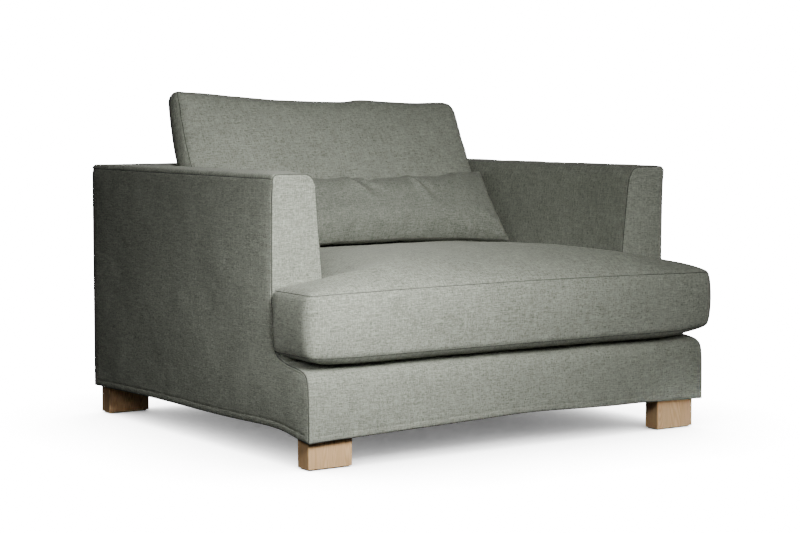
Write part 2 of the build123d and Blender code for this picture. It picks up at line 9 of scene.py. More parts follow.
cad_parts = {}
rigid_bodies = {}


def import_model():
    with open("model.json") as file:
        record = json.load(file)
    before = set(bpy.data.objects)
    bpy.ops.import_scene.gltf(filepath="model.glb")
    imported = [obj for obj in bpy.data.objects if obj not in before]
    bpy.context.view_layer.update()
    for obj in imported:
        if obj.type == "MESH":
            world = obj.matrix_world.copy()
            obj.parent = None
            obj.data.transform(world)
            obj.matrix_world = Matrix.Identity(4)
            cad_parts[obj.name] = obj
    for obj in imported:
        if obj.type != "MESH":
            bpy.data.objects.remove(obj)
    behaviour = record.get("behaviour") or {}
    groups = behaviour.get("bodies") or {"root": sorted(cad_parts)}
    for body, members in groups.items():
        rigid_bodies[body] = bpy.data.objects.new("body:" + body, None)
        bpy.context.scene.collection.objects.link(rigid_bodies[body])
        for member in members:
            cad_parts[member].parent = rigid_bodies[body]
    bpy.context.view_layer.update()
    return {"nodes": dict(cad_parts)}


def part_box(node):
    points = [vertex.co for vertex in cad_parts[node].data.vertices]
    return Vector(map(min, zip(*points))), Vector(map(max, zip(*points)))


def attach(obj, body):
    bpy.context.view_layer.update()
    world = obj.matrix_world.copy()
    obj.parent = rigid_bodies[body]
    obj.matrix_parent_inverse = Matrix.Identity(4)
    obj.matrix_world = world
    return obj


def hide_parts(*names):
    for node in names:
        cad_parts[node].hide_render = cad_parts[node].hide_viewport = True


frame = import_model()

# ---- places taken from the CAD nodes
base_lo, base_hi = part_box("left_side_cover")
SIDE = -base_lo.x
FRONT = base_lo.y
REAR = base_hi.y
TOP = base_hi.z
ARM_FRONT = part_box("left_arm_front_cover")[0].y
DECK = 0.222  # height of the deck under the seat cushion
ARM_AT_TOP, ARM_AT_DECK = 0.108, 0.145  # thickness of an arm
ARM_TAPER = (ARM_AT_DECK - ARM_AT_TOP) / (TOP - DECK)
SLOPE_TOP = FRONT + 0.840
LEAN_DEGREES = 27
LEAN = math.radians(LEAN_DEGREES)
SIN, COS, TAN = math.sin(LEAN), math.cos(LEAN), math.tan(LEAN)
seat_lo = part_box("seat_cushion_cover")[0]
cush_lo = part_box("back_cushion_cover")[0]
pil_lo, pil_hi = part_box("lumbar_pillow_cover")


def arm_inside(z):
    """Distance of an arm's inner side from the middle of the chair."""
    return SIDE - ARM_AT_TOP - (TOP - z) * ARM_TAPER


def slope_y(z, depth=0.0):
    """Depth of the back's slope at a height, or of a plane that far behind it."""
    return SLOPE_TOP - (TOP - z) * TAN + depth / COS


def wander(x, y, z, scale, amount, seed=0.0):
    """Smooth, repeatable unevenness."""
    return amount * noise.noise(Vector((x / scale + seed, y / scale - seed, z / scale + 2 * seed)))


# ---- materials

class Tree:
    """Short names for building a node material."""

    def __init__(self, name):
        self.mat = bpy.data.materials.new(name)
        self.mat.use_nodes = True
        self.nodes = self.mat.node_tree.nodes
        self.links = self.mat.node_tree.links
        self.nodes.clear()
        self.out = self.nodes.new("ShaderNodeOutputMaterial")
        self.shader = self.nodes.new("ShaderNodeBsdfPrincipled")
        self.links.new(self.shader.outputs[0], self.out.inputs[0])

    def set(self, socket, value):
        if isinstance(value, bpy.types.NodeSocket):
            self.links.new(value, socket)
        elif value is not None:
            socket.default_value = value

    def node(self, kind, out=0, props=None, **inputs):
        n = self.nodes.new(kind)
        for k, v in (props or {}).items():
            setattr(n, k, v)
        for k, v in inputs.items():
            self.set(n.inputs[int(k[1:])] if k[0] == "i" and k[1:].isdigit() else n.inputs[k.replace("_", " ")], v)
        return n.outputs[out]

    def coords(self, kind="Object"):
        return self.nodes.new("ShaderNodeTexCoord").outputs[kind]

    def scaled(self, vector, scale, shift=(0, 0, 0), turn=(0, 0, 0)):
        return self.node("ShaderNodeMapping", Vector=vector, Scale=scale, Location=shift, Rotation=turn)

    def noise(self, vector, scale, detail=2.0, rough=0.5, distortion=0.0):
        return self.node("ShaderNodeTexNoise", Vector=vector, Scale=scale, Detail=detail, Roughness=rough,
                         Distortion=distortion)

    def wave(self, vector, scale, axis="X", distortion=0.0, profile="SIN"):
        return self.node("ShaderNodeTexWave", 1, {"wave_type": "BANDS", "bands_direction": axis,
                                                  "wave_profile": profile},
                         Vector=vector, Scale=scale, Distortion=distortion)

    def math(self, op, a, b=0.0, c=0.0):
        return self.node("ShaderNodeMath", 0, {"operation": op}, i0=a, i1=b, i2=c)

    def remap(self, value, a, b, c, d):
        return self.node("ShaderNodeMapRange", Value=value, i1=a, i2=b, i3=c, i4=d)

    def mix(self, factor, a, b, blend="MIX"):
        n = self.nodes.new("ShaderNodeMix")
        n.data_type = "RGBA"
        n.blend_type = blend
        self.set(n.inputs[0], factor)
        self.set(n.inputs[6], a)
        self.set(n.inputs[7], b)
        return n.outputs[2]

    def bump(self, height, distance, strength=1.0, normal=None):
        return self.node("ShaderNodeBump", Height=height, Distance=distance, Strength=strength, Normal=normal)

    def finish(self, color, rough, normal=None, sheen=0.0, metallic=0.0, tint=None):
        self.set(self.shader.inputs["Base Color"], color)
        self.set(self.shader.inputs["Roughness"], rough)
        self.set(self.shader.inputs["Normal"], normal)
        self.shader.inputs["Metallic"].default_value = metallic
        if sheen:
            self.shader.inputs["Sheen Weight"].default_value = sheen
            self.shader.inputs["Sheen Roughness"].default_value = 0.45
            if tint:
                self.shader.inputs["Sheen Tint"].default_value = tint
        return self.mat


def rgb(r, g, b):
    """sRGB steps out of 255 as linear colour."""
    def lin(v):
        v /= 255
        return v / 12.92 if v <= 0.04045 else ((v + 0.055) / 1.055) ** 2.4
    return (lin(r), lin(g), lin(b), 1.0)


def linen(name, coords="UV", tone=1.0):
    """Slubby plain-weave linen; the coordinates are metres on the cloth."""
    t = Tree(name)
    uv = t.coords(coords)
    warp = t.noise(t.scaled(uv, (820, 130, 130)), 1.0, 3.0, 0.62)
    weft = t.noise(t.scaled(uv, (110, 820, 760), (5.1, 2.3, 1.7)), 1.0, 3.0, 0.62)
    slub_a = t.noise(t.scaled(uv, (420, 20, 20), (3.0, 7.0, 1.0)), 1.0, 2.0, 0.55)
    slub_b = t.noise(t.scaled(uv, (20, 420, 400), (9.0, 1.0, 4.0)), 1.0, 2.0, 0.55)
    cloud = t.noise(uv, 9.0, 3.0, 0.55)
    thread = t.math("ADD", t.remap(warp, 0.3, 0.7, -0.5, 0.5), t.remap(weft, 0.3, 0.7, -0.5, 0.5))
    slub = t.math("ADD", t.remap(slub_a, 0.42, 0.7, 0.0, 0.5), t.remap(slub_b, 0.42, 0.7, 0.0, 0.5))
    pale = t.math("ADD", t.math("MULTIPLY", thread, 0.62), t.math("MULTIPLY", slub, 0.42))
    pale = t.math("ADD", pale, t.remap(cloud, 0.3, 0.7, 0.35, 0.42))
    dark = tuple(c * tone for c in rgb(84, 90, 78)[:3]) + (1.0,)
    light = tuple(c * tone for c in rgb(192, 196, 181)[:3]) + (1.0,)
    color = t.mix(pale, dark, light)
    weave_a = t.wave(uv, 130.0, "X", 0.0)
    weave_b = t.wave(uv, 130.0, "Y", 0.0)
    weave = t.math("MULTIPLY", weave_a, weave_b)
    color = t.mix(t.remap(weave, 0.0, 1.0, 0.16, 0.0), color, rgb(60, 62, 55))
    height = t.math("ADD", t.math("MULTIPLY", thread, 0.8), t.math("MULTIPLY", slub, 0.7))
    height = t.math("ADD", height, t.math("MULTIPLY", weave, 0.5))
    soft = t.bump(t.noise(uv, 22.0, 3.0, 0.5), 0.0012, 0.5)
    normal = t.bump(height, 0.0003, 0.8, soft)
    return t.finish(color, t.remap(warp, 0.3, 0.7, 0.84, 0.94), normal, 0.22, 0.0, rgb(210, 212, 200))


def thread_material(name, color):
    t = Tree(name)
    twist = t.wave(t.scaled(t.coords(), (1, 1, 1), (0, 0, 0), (0.5, 0.4, 0.6)), 420.0, "DIAGONAL", 0.0)
    shade = t.mix(t.remap(t.noise(t.coords(), 900.0), 0.3, 0.7, 0.0, 1.0), color,
                  tuple(c * 1.35 for c in color[:3]) + (1.0,))
    return t.finish(shade, 0.85, t.bump(twist, 0.0001, 0.6), 0.15)


def wood(name, pale, deep, axis=2, ring=34.0, rough=0.5):
    """Timber with its grain along one axis: rings, pores and a few darker streaks."""
    t = Tree(name)
    squeeze = [1.0, 1.0, 1.0]
    squeeze[axis] = 0.06
    at = t.scaled(t.coords(), tuple(squeeze))
    warped = t.node("ShaderNodeVectorMath", 0, {"operation": "ADD"}, i0=at,
                    i1=t.node("ShaderNodeTexNoise", 1, Vector=at, Scale=9.0, Detail=2.0))
    rings = t.wave(warped, ring, "DIAGONAL", 1.5)
    pore = [900.0, 900.0, 900.0]
    pore[axis] = 26.0
    pores = t.noise(t.scaled(t.coords(), tuple(pore)), 1.0, 3.0, 0.6)
    streak = t.noise(t.scaled(at, (160, 160, 160)), 1.0, 4.0, 0.6)
    color = t.mix(t.remap(rings, 0.1, 0.95, 0.0, 0.55), pale, deep)
    color = t.mix(t.remap(streak, 0.45, 0.75, 0.0, 0.5), color, deep)
    color = t.mix(t.remap(pores, 0.56, 0.72, 0.0, 0.55), color, tuple(c * 0.45 for c in deep[:3]) + (1.0,))
    height = t.math("ADD", t.math("MULTIPLY", rings, 0.4), t.remap(pores, 0.5, 0.7, 0.6, 0.0))
    return t.finish(color, t.remap(streak, 0.3, 0.7, rough - 0.08, rough + 0.12), t.bump(height, 0.00025, 0.7))


def fibreboard(name):
    t = Tree(name)
    specks = t.noise(t.coords(), 700.0, 4.0, 0.7)
    patch = t.noise(t.coords(), 14.0, 3.0)
    color = t.mix(t.remap(specks, 0.35, 0.65, 0.0, 1.0), rgb(120, 88, 58), rgb(172, 136, 96))
    color = t.mix(t.remap(patch, 0.3, 0.7, 0.0, 0.35), color, rgb(98, 70, 46))
    return t.finish(color, 0.7, t.bump(specks, 0.0003, 0.7))


def foam(name):
    t = Tree(name)
    cells = t.node("ShaderNodeTexVoronoi", 0, Vector=t.coords(), Scale=520.0)
    patch = t.noise(t.coords(), 12.0, 3.0)
    color = t.mix(t.remap(cells, 0.0, 0.7, 1.0, 0.0), rgb(238, 226, 186), rgb(206, 188, 140))
    color = t.mix(t.remap(patch, 0.3, 0.7, 0.0, 0.3), color, rgb(224, 204, 150))
    return t.finish(color, 0.95, t.bump(cells, 0.0008, 0.8))


def woven(name, base, line, pitch, axis_a="X", axis_b="Y"):
    t = Tree(name)
    a = t.wave(t.coords(), pitch, axis_a)
    b = t.wave(t.coords(), pitch * 0.8, axis_b)
    mixed = t.math("MULTIPLY", a, b)
    fuzz = t.noise(t.coords(), 600.0, 3.0)
    color = t.mix(mixed, base, line)
    color = t.mix(t.remap(fuzz, 0.35, 0.7, 0.0, 0.4), color, tuple(c * 0.6 for c in base[:3]) + (1.0,))
    height = t.math("ADD", mixed, t.math("MULTIPLY", fuzz, 0.5))
    return t.finish(color, 0.88, t.bump(height, 0.0005, 0.8), 0.1)


def felt(name):
    t = Tree(name)
    hair = t.noise(t.coords(), 480.0, 5.0, 0.75, 2.0)
    color = t.mix(t.remap(hair, 0.35, 0.65, 0.0, 1.0), rgb(92, 78, 62), rgb(142, 124, 102))
    return t.finish(color, 0.95, t.bump(hair, 0.0008, 0.9), 0.3)


def metal(name, base, rough, worn):
    t = Tree(name)
    brushed = t.noise(t.scaled(t.coords(), (60, 900, 900)), 1.0, 3.0, 0.6)
    blotch = t.noise(t.coords(), 55.0, 4.0, 0.65)
    color = t.mix(t.remap(blotch, 0.4, 0.7, 0.0, 0.55), base, worn)
    value = t.math("ADD", t.remap(brushed, 0.3, 0.7, rough - 0.07, rough + 0.07), t.remap(blotch, 0.4, 0.7, 0.0, 0.12))
    return t.finish(color, value, t.bump(brushed, 0.0001, 0.5), 0.0, 1.0)


LINEN = linen("linen")
LINEN_CAD = linen("linen_deck", "Object", 0.95)
# Seam cords are real geometry, but they are coloured darker than the cloth as painted shade of the seam lines.
SEAM_PAINTED_SHADE = thread_material("seam_thread_painted_shade", rgb(66, 68, 60))
STITCH = thread_material("top_stitch", rgb(112, 115, 103))
OAK = wood("oak", rgb(238, 198, 148), rgb(206, 160, 110), 2, 60.0, 0.48)
PINE_X, PINE_Y, PINE_Z = (wood(f"frame_timber_{axis}", rgb(222, 190, 138), rgb(186, 142, 88), i, 30.0, 0.65)
                          for i, axis in enumerate("xyz"))
BOARD = fibreboard("fibreboard")
FOAM = foam("foam")
WEBBING = woven("webbing", rgb(52, 50, 46), rgb(92, 88, 80), 160.0, "X", "DIAGONAL")
LINING = woven("lining", rgb(26, 26, 26), rgb(52, 52, 52), 210.0)
TAPE = woven("zip_tape", rgb(98, 102, 90), rgb(130, 134, 120), 260.0, "X", "Z")
FELT = felt("felt")
SPRING = metal("spring_steel", rgb(120, 120, 122), 0.38, rgb(84, 80, 74))
ZINC = metal("zinc_steel", rgb(190, 190, 186), 0.3, rgb(146, 146, 142))
SLIDER = metal("zip_metal", rgb(104, 106, 98), 0.35, rgb(70, 72, 66))

# finish of each CAD node by the end of its name; the first that fits is taken
CAD_FINISH = (
    ("_foot", OAK), ("foot_glides", FELT), (("foot_bolts", "frame_screws"), ZINC),
    (("seat_springs", "spring_clips", "cross_wires"), SPRING), ("zip_slider", SLIDER), ("_zip", TAPE),
    ("back_webbing", WEBBING), ("dust_cover", LINING), ("_cover", LINEN_CAD), (("_foam", "deck_pad", "_filling"), FOAM),
    (("outer_board", "inner_board"), BOARD),
)


def cad_finish(name):
    for ends, material in CAD_FINISH:
        if name.endswith(ends):
            return material
    if any(word in name for word in ("post", "upright", "slope")):
        return PINE_Z
    return PINE_Y if name.endswith(("side_rail", "arm_top_board")) else PINE_X


def dress(obj, material):
    obj.data.materials.clear()
    obj.data.materials.append(material)


for name in frame["nodes"]:
    dress(bpy.data.objects[name], cad_finish(name))


# ---- cloth panels cut flat and shaped over the body

def lengths(points):
    """Arc length at each point of a run."""
    return np.concatenate([[0], np.cumsum(np.linalg.norm(np.diff(points, axis=0), axis=1))])


def resample(points, step):
    """Points along an open run, evenly about one step apart, with both ends kept."""
    p = np.array(points, float)
    at = lengths(p)
    n = max(1, int(round(at[-1] / step)))
    s = np.linspace(0, at[-1], n + 1)
    return np.stack([np.interp(s, at, p[:, k]) for k in range(p.shape[1])], 1)


def catmull(a, b, c, d, t):
    """Catmull-Rom point between b and c."""
    return 0.5 * (2 * b + (c - a) * t + (2 * a - 5 * b + 4 * c - d) * t * t + (3 * b - a - 3 * c + d) * t ** 3)


def smooth_run(points, step=0.004):
    """Smooth curve through the points."""
    p = [np.array(q, float) for q in points]
    p = [2 * p[0] - p[1]] + p + [2 * p[-1] - p[-2]]
    out = []
    for a, b, c, d in zip(p, p[1:], p[2:], p[3:]):
        n = max(2, int(np.linalg.norm(c - b) / step))
        out += [catmull(a, b, c, d, t) for t in np.arange(n) / n]
    out.append(p[-2])
    return resample(out, step)


def arc(centre, radius, a0, a1, steps=8):
    return [(centre[0] + radius * math.cos(math.radians(a)), centre[1] + radius * math.sin(math.radians(a)))
            for a in np.linspace(a0, a1, steps)]


# radius of the rolled edge, depth of the seam line, distance of the topstitch from it
KINDS = {
    "corner": (0.0050, 0.0014, 0.0075),
    "plain": (0.0040, 0.0014, 0.0),
    "flat": (0.0, 0.0020, 0.0),
    "hem": (0.0, 0.0, 0.015),
    "free": (0.0, 0.0, 0.0),
}
NAMES = list(KINDS)
RINGS = (0.0005, 0.0012, 0.0022, 0.0036, 0.0052, 0.0065, 0.0075, 0.0085, 0.0105)
HEM_RINGS = (0.004, 0.009, 0.0135, 0.015, 0.0165, 0.021)


def nearest(points, a, b, kinds):
    """Distance, nearest place and edge kind on the outline for each point."""
    ab = b - a
    length = (ab ** 2).sum(1)
    best = np.full(len(points), 1e9)
    where = np.zeros((len(points), 2))
    kind = np.zeros(len(points), int)
    for lo in range(0, len(points), 2000):
        p = points[lo:lo + 2000]
        t = ((p[:, None] - a[None]) * ab[None]).sum(2) / length[None]
        q = a[None] + np.clip(t, 0, 1)[:, :, None] * ab[None]
        d = np.linalg.norm(p[:, None] - q, axis=2)
        k = d.argmin(1)
        rows = np.arange(len(p))
        best[lo:lo + 2000] = d[rows, k]
        where[lo:lo + 2000] = q[rows, k]
        kind[lo:lo + 2000] = kinds[k]
    return best, where, kind


def leftward(t):
    """Unit vectors to the left of each row."""
    t = t / np.linalg.norm(t, axis=1)[:, None]
    return np.stack([-t[:, 1], t[:, 0]], 1)


def within(points, a, b):
    """Which points lie inside the closed outline with edges from a to b."""
    inside = np.zeros(len(points), bool)
    for p, q in zip(a, b):
        cross = (p[1] > points[:, 1]) != (q[1] > points[:, 1])
        with np.errstate(divide="ignore", invalid="ignore"):
            x = (q[0] - p[0]) * (points[:, 1] - p[1]) / (q[1] - p[1]) + p[0]
        inside ^= cross & (points[:, 0] < x)
    return inside


def tree_of(points):
    tree = kdtree.KDTree(len(points))
    for i, p in enumerate(points):
        tree.insert(p, i)
    tree.balance()
    return tree


def cut_mesh(runs, pitch):
    """Triangles of a flat cut. runs are (points, kind) one after another round the outline, anticlockwise."""
    pts, kinds = [], []
    for run, kind in runs:
        r = resample(run, 0.007)
        pts += [tuple(q) for q in r[:-1]]
        kinds += [NAMES.index(kind)] * (len(r) - 1)
    a = np.array(pts)
    b = np.roll(a, -1, axis=0)
    kinds = np.array(kinds)
    inward = leftward(b - a)
    corner = inward + np.roll(inward, 1, axis=0)
    corner /= np.maximum((corner ** 2).sum(1), 0.5)[:, None] / 2
    wanted = []
    for k, name in enumerate(NAMES):
        mine = kinds == k
        if name == "free" or not mine.any():
            continue
        for s in HEM_RINGS if name == "hem" else RINGS:
            wanted.append(((a + b)[mine] / 2 + inward[mine] * s, s))
            wanted.append((a[mine] + corner[mine] * s, s))
    keep = []
    for p, s in wanted:
        d, _, _ = nearest(p, a, b, kinds)
        keep.append(p[d > s * 0.9])
    lo, hi = a.min(0), a.max(0)
    gx, gy = np.meshgrid(np.arange(lo[0], hi[0], pitch) + pitch / 2, np.arange(lo[1], hi[1], pitch) + pitch / 2)
    grid = np.stack([gx.ravel(), gy.ravel()], 1)
    d, _, _ = nearest(grid, a, b, kinds)
    keep.append(grid[within(grid, a, b) & (d > RINGS[-1] + pitch * 0.6)])
    points = np.concatenate([a] + keep)
    n = len(a)
    verts, _, faces, _, _, _ = delaunay_2d_cdt([Vector(p) for p in points], [(i, (i + 1) % n) for i in range(n)],
                                               [], 1, 1e-6)
    return np.array([tuple(v) for v in verts]), [tuple(f) for f in faces], a, b, kinds


def make_object(name, verts, faces, uvs, material):
    """A mesh object; uvs holds one (u, v) for each face corner."""
    me = bpy.data.meshes.new(name)
    me.from_pydata([tuple(v) for v in verts], [], faces)
    if uvs is not None:
        layer = me.uv_layers.new(name="cut")
        layer.data.foreach_set("uv", np.array(uvs, "f").ravel())
    me.update()
    me.polygons.foreach_set("use_smooth", [True] * len(me.polygons))
    obj = bpy.data.objects.new(name, me)
    bpy.context.scene.collection.objects.link(obj)
    obj.data.materials.append(material)
    return obj


def soft_piece(name, verts, faces, uvs, material, body):
    obj = make_object(name, verts, faces, uvs, material)
    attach(obj, body)
    return obj


CLOTH_THICK = 0.0016


def panel(name, runs, place, puff, rough, seed, hides, pitch=0.013):
    """One cloth panel: cut flat, its edges rolled into their seams, then placed on the body.
    place(u, v, depth) gives the point that far under the outside of the cloth."""
    verts, faces, a, b, kinds = cut_mesh(runs, pitch)
    d, q, kind = nearest(verts, a, b, kinds)
    out = []
    inward = leftward(b - a)
    joint = inward + np.roll(inward, 1, axis=0)
    joint /= np.linalg.norm(joint, axis=1)[:, None]
    tree = tree_of([(p[0], p[1], 0) for p in a])
    for (u, v), s, (qu, qv), k in zip(verts, d, q, kind):
        radius, dip, stitch = KINDS[NAMES[k]]
        along, depth = s, 0.0
        if s < 1e-6:
            _, i, _ = tree.find((u, v, 0))
            nu, nv = joint[i]
        else:
            nu, nv = (u - qu) / s, (v - qv) / s
        if radius and s < radius:
            along = 0.293 * radius + s * 0.707
            depth = radius - math.sqrt(max(radius ** 2 - (radius - along) ** 2, 0))
        if dip:
            e = dip * math.exp(-s / 0.0012)
            along += 0.707 * e if radius else 0
            depth += 0.707 * e if radius else e
        if stitch:
            depth += 0.0008 * math.exp(-((s - stitch) / 0.0011) ** 2)
        if NAMES[k] == "hem":
            depth += 0.0012 * math.exp(-s / 0.002)
        u2, v2 = qu + nu * along, qv + nv * along
        swell = 1 - math.exp(-s / 0.06)
        depth -= puff * swell + wander(u, v, 0, 0.16, rough * 1.6, seed) * swell
        depth -= wander(u, v, 0, 0.045, rough * 0.6, seed + 3) * min(1, s / 0.02)
        out.append(place(u2, v2, depth))
    mid = faces[len(faces) // 2]
    c = sum((Vector(out[i]) for i in mid), Vector()) / 3
    cu, cv = verts[list(mid)].mean(0)
    outward = Vector(place(cu, cv, -0.01)) - Vector(place(cu, cv, 0.0))
    n = (Vector(out[mid[1]]) - Vector(out[mid[0]])).cross(Vector(out[mid[2]]) - Vector(out[mid[0]]))
    if n.dot(outward) < 0:
        faces = [f[::-1] for f in faces]
    uvs = [tuple(verts[i]) for f in faces for i in f]
    obj = soft_piece(name, out, faces, uvs, LINEN, "chair")
    thick = obj.modifiers.new("cloth", "SOLIDIFY")
    thick.thickness = CLOTH_THICK
    thick.offset = -1.0
    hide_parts(*hides)


def skin(faces, first, rings, sides, closed=False):
    """Faces of a tube whose rings of vertices begin at first."""
    for i in range(rings if closed else rings - 1):
        here, ahead = first + i * sides, first + (i + 1) % rings * sides
        for k in range(sides):
            m = (k + 1) % sides
            faces.append((here + k, here + m, ahead + m, ahead + k))
    if not closed:
        faces.append(tuple(first + k for k in range(sides - 1, -1, -1)))
        faces.append(tuple(first + (rings - 1) * sides + k for k in range(sides)))


def stitches(name, lines, pitch=0.0048, length=0.0034, radius=0.00042):
    """Rows of sewn stitches. lines are runs of (point, normal)."""
    verts, faces = [], []
    for line in lines:
        p = np.array([q for q, _ in line], float)
        nrm = np.array([m for _, m in line], float)
        at = lengths(p)
        for s in np.arange(pitch / 2, at[-1] - pitch / 2, pitch):
            row = []
            for t in (-0.5, -0.25, 0.25, 0.5):
                k = s + t * length
                c = Vector([np.interp(k, at, p[:, j]) for j in range(3)])
                m = Vector([np.interp(k, at, nrm[:, j]) for j in range(3)]).normalized()
                row.append((c, m, abs(t)))
            along = (row[-1][0] - row[0][0]).normalized()
            first = len(verts)
            for c, m, t in row:
                side = m.cross(along).normalized()
                lift = -0.00035 if t > 0.4 else 0.00012
                r = radius * (0.55 if t > 0.4 else 1.0)
                for k in range(6):
                    w = math.radians(60 * k)
                    verts.append(c + m * (lift + r * math.sin(w)) + side * (r * math.cos(w)))
            skin(faces, first, 4, 6)
    soft_piece(name, verts, faces, None, STITCH, "chair")


def seam_cord(points, radius, name, body, closed=False, sides=7):
    """The thread or cord of a seam, along a run of points; its dark colour is painted shade of the seam line."""
    p = [Vector(q) for q in points]
    n = len(p)
    verts, faces = [], []
    normal = None
    for i, c in enumerate(p):
        ahead = p[(i + 1) % n] if closed or i < n - 1 else p[i]
        behind = p[i - 1] if closed or i > 0 else p[i]
        along = (ahead - behind).normalized()
        if normal is None:
            normal = along.orthogonal().normalized()
        normal = (normal - along * normal.dot(along)).normalized()
        side = along.cross(normal)
        for k in range(sides):
            w = 2 * math.pi * k / sides
            verts.append(c + normal * (radius * math.cos(w)) + side * (radius * math.sin(w)))
    skin(faces, 0, n, sides, closed)
    soft_piece(name, verts, faces, None, SEAM_PAINTED_SHADE, body)


# profile of the front of an arm and the ledge below it, as (distance behind the base front, height)
EDGE = [(0.000, 0.061), (0.000, 0.120), (0.0015, 0.175), (0.008, 0.2005), (0.024, 0.2115), (0.049, 0.2165),
        (0.085, 0.221), (0.119, 0.230), (0.135, 0.2415), (0.1425, 0.262), (0.145, 0.290), (0.149, 0.350),
        (0.149, 0.458), (0.147, 0.565), (0.144, 0.600)]
ROLL = 0.0105          # radius of the arm top's roll into its outer seam
R_IN, R_OUT = 0.028, 0.013  # corners of an arm front
R_REAR = 0.014         # upper rear corner of a side
SEAM_Z = TOP - ROLL
X_IN = arm_inside(TOP)
edge_run = smooth_run(EDGE)
edge_run = [(FRONT + y, z) for y, z in edge_run if z < 0.061001 or z > 0.072]
edge_run = [q for q in edge_run if q[1] < SEAM_Z - 0.003] + [(edge_run[-1][0], SEAM_Z)]
REAR_ARC = arc((REAR - R_REAR, SEAM_Z - R_REAR), R_REAR, 0, 90)
for name, side, foot in (("left", -1, 0.061), ("right", 1, 0.069)):
    hem_side = smooth_run([(0.000, foot), (0.042, 0.066 + (foot - 0.061) / 2), (0.147, 0.078), (0.38, 0.074),
                           (0.73, 0.073), (1.033, 0.067)], 0.02)
    hem_side = [(FRONT + y, z) for y, z in hem_side]
    edge_run[0] = (edge_run[0][0], foot)
    runs = [
        (hem_side, "hem"),
        ([(REAR, 0.067), (REAR, SEAM_Z - R_REAR)] + REAR_ARC, "corner"),
        ([(REAR - R_REAR, SEAM_Z), (edge_run[-1][0], SEAM_Z)], "flat"),
        (edge_run[::-1], "corner"),
    ]
    panel(f"{name}_side_panel", runs, lambda u, v, d, s=side: (s * (SIDE - d), u, v), puff=0.0035, rough=0.0016,
          seed=2.0 + side, hides=(f"{name}_side_cover", f"{name}_outer_board"))


class Profile:
    """A run of points in a plane, met by arc length."""

    def __init__(self, points):
        self.p = np.array(points, float)
        self.s = lengths(self.p)
        self.length = self.s[-1]

    def at(self, s, depth):
        """The point at s, and depth to the right of the run."""
        q = [np.interp(s, self.s, self.p[:, k]) for k in (0, 1)]
        e = 0.004
        lo, hi = max(s - e, 0), min(s + e, self.length)
        t = [np.interp(hi, self.s, self.p[:, k]) - np.interp(lo, self.s, self.p[:, k]) for k in (0, 1)]
        n = math.hypot(*t)
        if s < 0 or s > self.length:
            over = s if s < 0 else s - self.length
            q = [q[0] + t[0] / n * over, q[1] + t[1] / n * over]
        return q[0] + t[1] / n * depth, q[1] - t[0] / n * depth

    def find(self, k, value):
        """Arc length where coordinate k first passes value."""
        return float(np.interp(value, self.p[:, k], self.s))

    def bend(self, side=1):
        """Places a panel that runs up this profile and straight across the chair."""
        return lambda u, v, d: (side * u, *self.at(v, d))


# front panel: up the base front and over the ledge, with a tongue under the seat cushion
edge_run[0] = (FRONT, 0.061)
FOOT_Y = FRONT + 0.100
base_run = [q for q in edge_run if q[0] < FOOT_Y and q[1] < 0.24]
base = Profile(base_run + [(FRONT + 0.158, base_run[-1][1] - 0.0005)])
reach = base.find(0, base_run[-1][0])
hem_front = smooth_run([(-0.55, 0.061), (-0.44, 0.065), (-0.107, 0.075), (0.04, 0.079), (0.25, 0.0735),
                        (0.37, 0.073), (0.55, 0.069)], 0.02)
hem_front = [(x * SIDE / 0.55, z - 0.061) for x, z in hem_front]
inner = arm_inside(DECK) - 0.001
front_runs = [
    (hem_front, "hem"),
    ([(SIDE, 0.008), (SIDE, reach)], "corner"),
    ([(SIDE, reach), (inner, reach)], "flat"),
    ([(inner, reach), (inner, base.length), (-inner, base.length), (-inner, reach)], "free"),
    ([(-inner, reach), (-SIDE, reach)], "flat"),
    ([(-SIDE, reach), (-SIDE, 0.0)], "corner"),
]
place_front = base.bend()
panel("front_panel", front_runs, place_front, puff=0.0025, rough=0.0014, seed=5.0,
      hides=("front_cover", "front_foam"))

# arm fronts
arm_run = [q for q in edge_run if q[0] >= base_run[-1][0] - 1e-6 and q[1] > base_run[-1][1] - 1e-6]
arm_run = arm_run[:-1] + [(arm_run[-1][0], TOP)]
arm_front = Profile(arm_run)


def arm_front_z(v):
    return float(arm_front.at(v, 0)[1])


for name, side in (("left", -1), ("right", 1)):
    length = arm_front.length
    inner_edge = [(arm_inside(arm_front_z(v)), v) for v in np.linspace(0, length - R_IN, 24)]
    outline = [
        ([(inner_edge[0][0], 0), (SIDE, 0)], "flat"),
        ([(SIDE, 0), (SIDE, length - R_OUT)], "corner"),
        (arc((SIDE - R_OUT, length - R_OUT), R_OUT, 0, 90) + [(X_IN + R_IN, length)]
         + arc((X_IN + R_IN, length - R_IN), R_IN, 90, 176), "plain"),
        (inner_edge[::-1], "plain"),
    ]
    panel(f"{name}_arm_front_panel", outline, arm_front.bend(side), puff=0.004, rough=0.0012, seed=8.0 + side,
          hides=(f"{name}_arm_front_cover",))

# arm wraps: from the outer seam over the top and down the inside
wrap_points = [(SIDE, SEAM_Z)] + arc((SIDE - ROLL, SEAM_Z), ROLL, 0, 90, 10)[1:]
wrap_points += arc((X_IN + R_IN, TOP - R_IN), R_IN, 90, 175, 14)
wrap_points += [(arm_inside(z), z) for z in np.linspace(TOP - 0.034, 0.2, 16)]
wrap = Profile(wrap_points)
s_mitre = wrap.s[11]  # where the back's top meets the arm's


def front_y(z):
    zs = [q[1] for q in arm_run]
    return float(np.interp(z, zs, [q[0] for q in arm_run]))


def wrap_z(s):
    return float(np.interp(s, wrap.s, wrap.p[:, 1]))


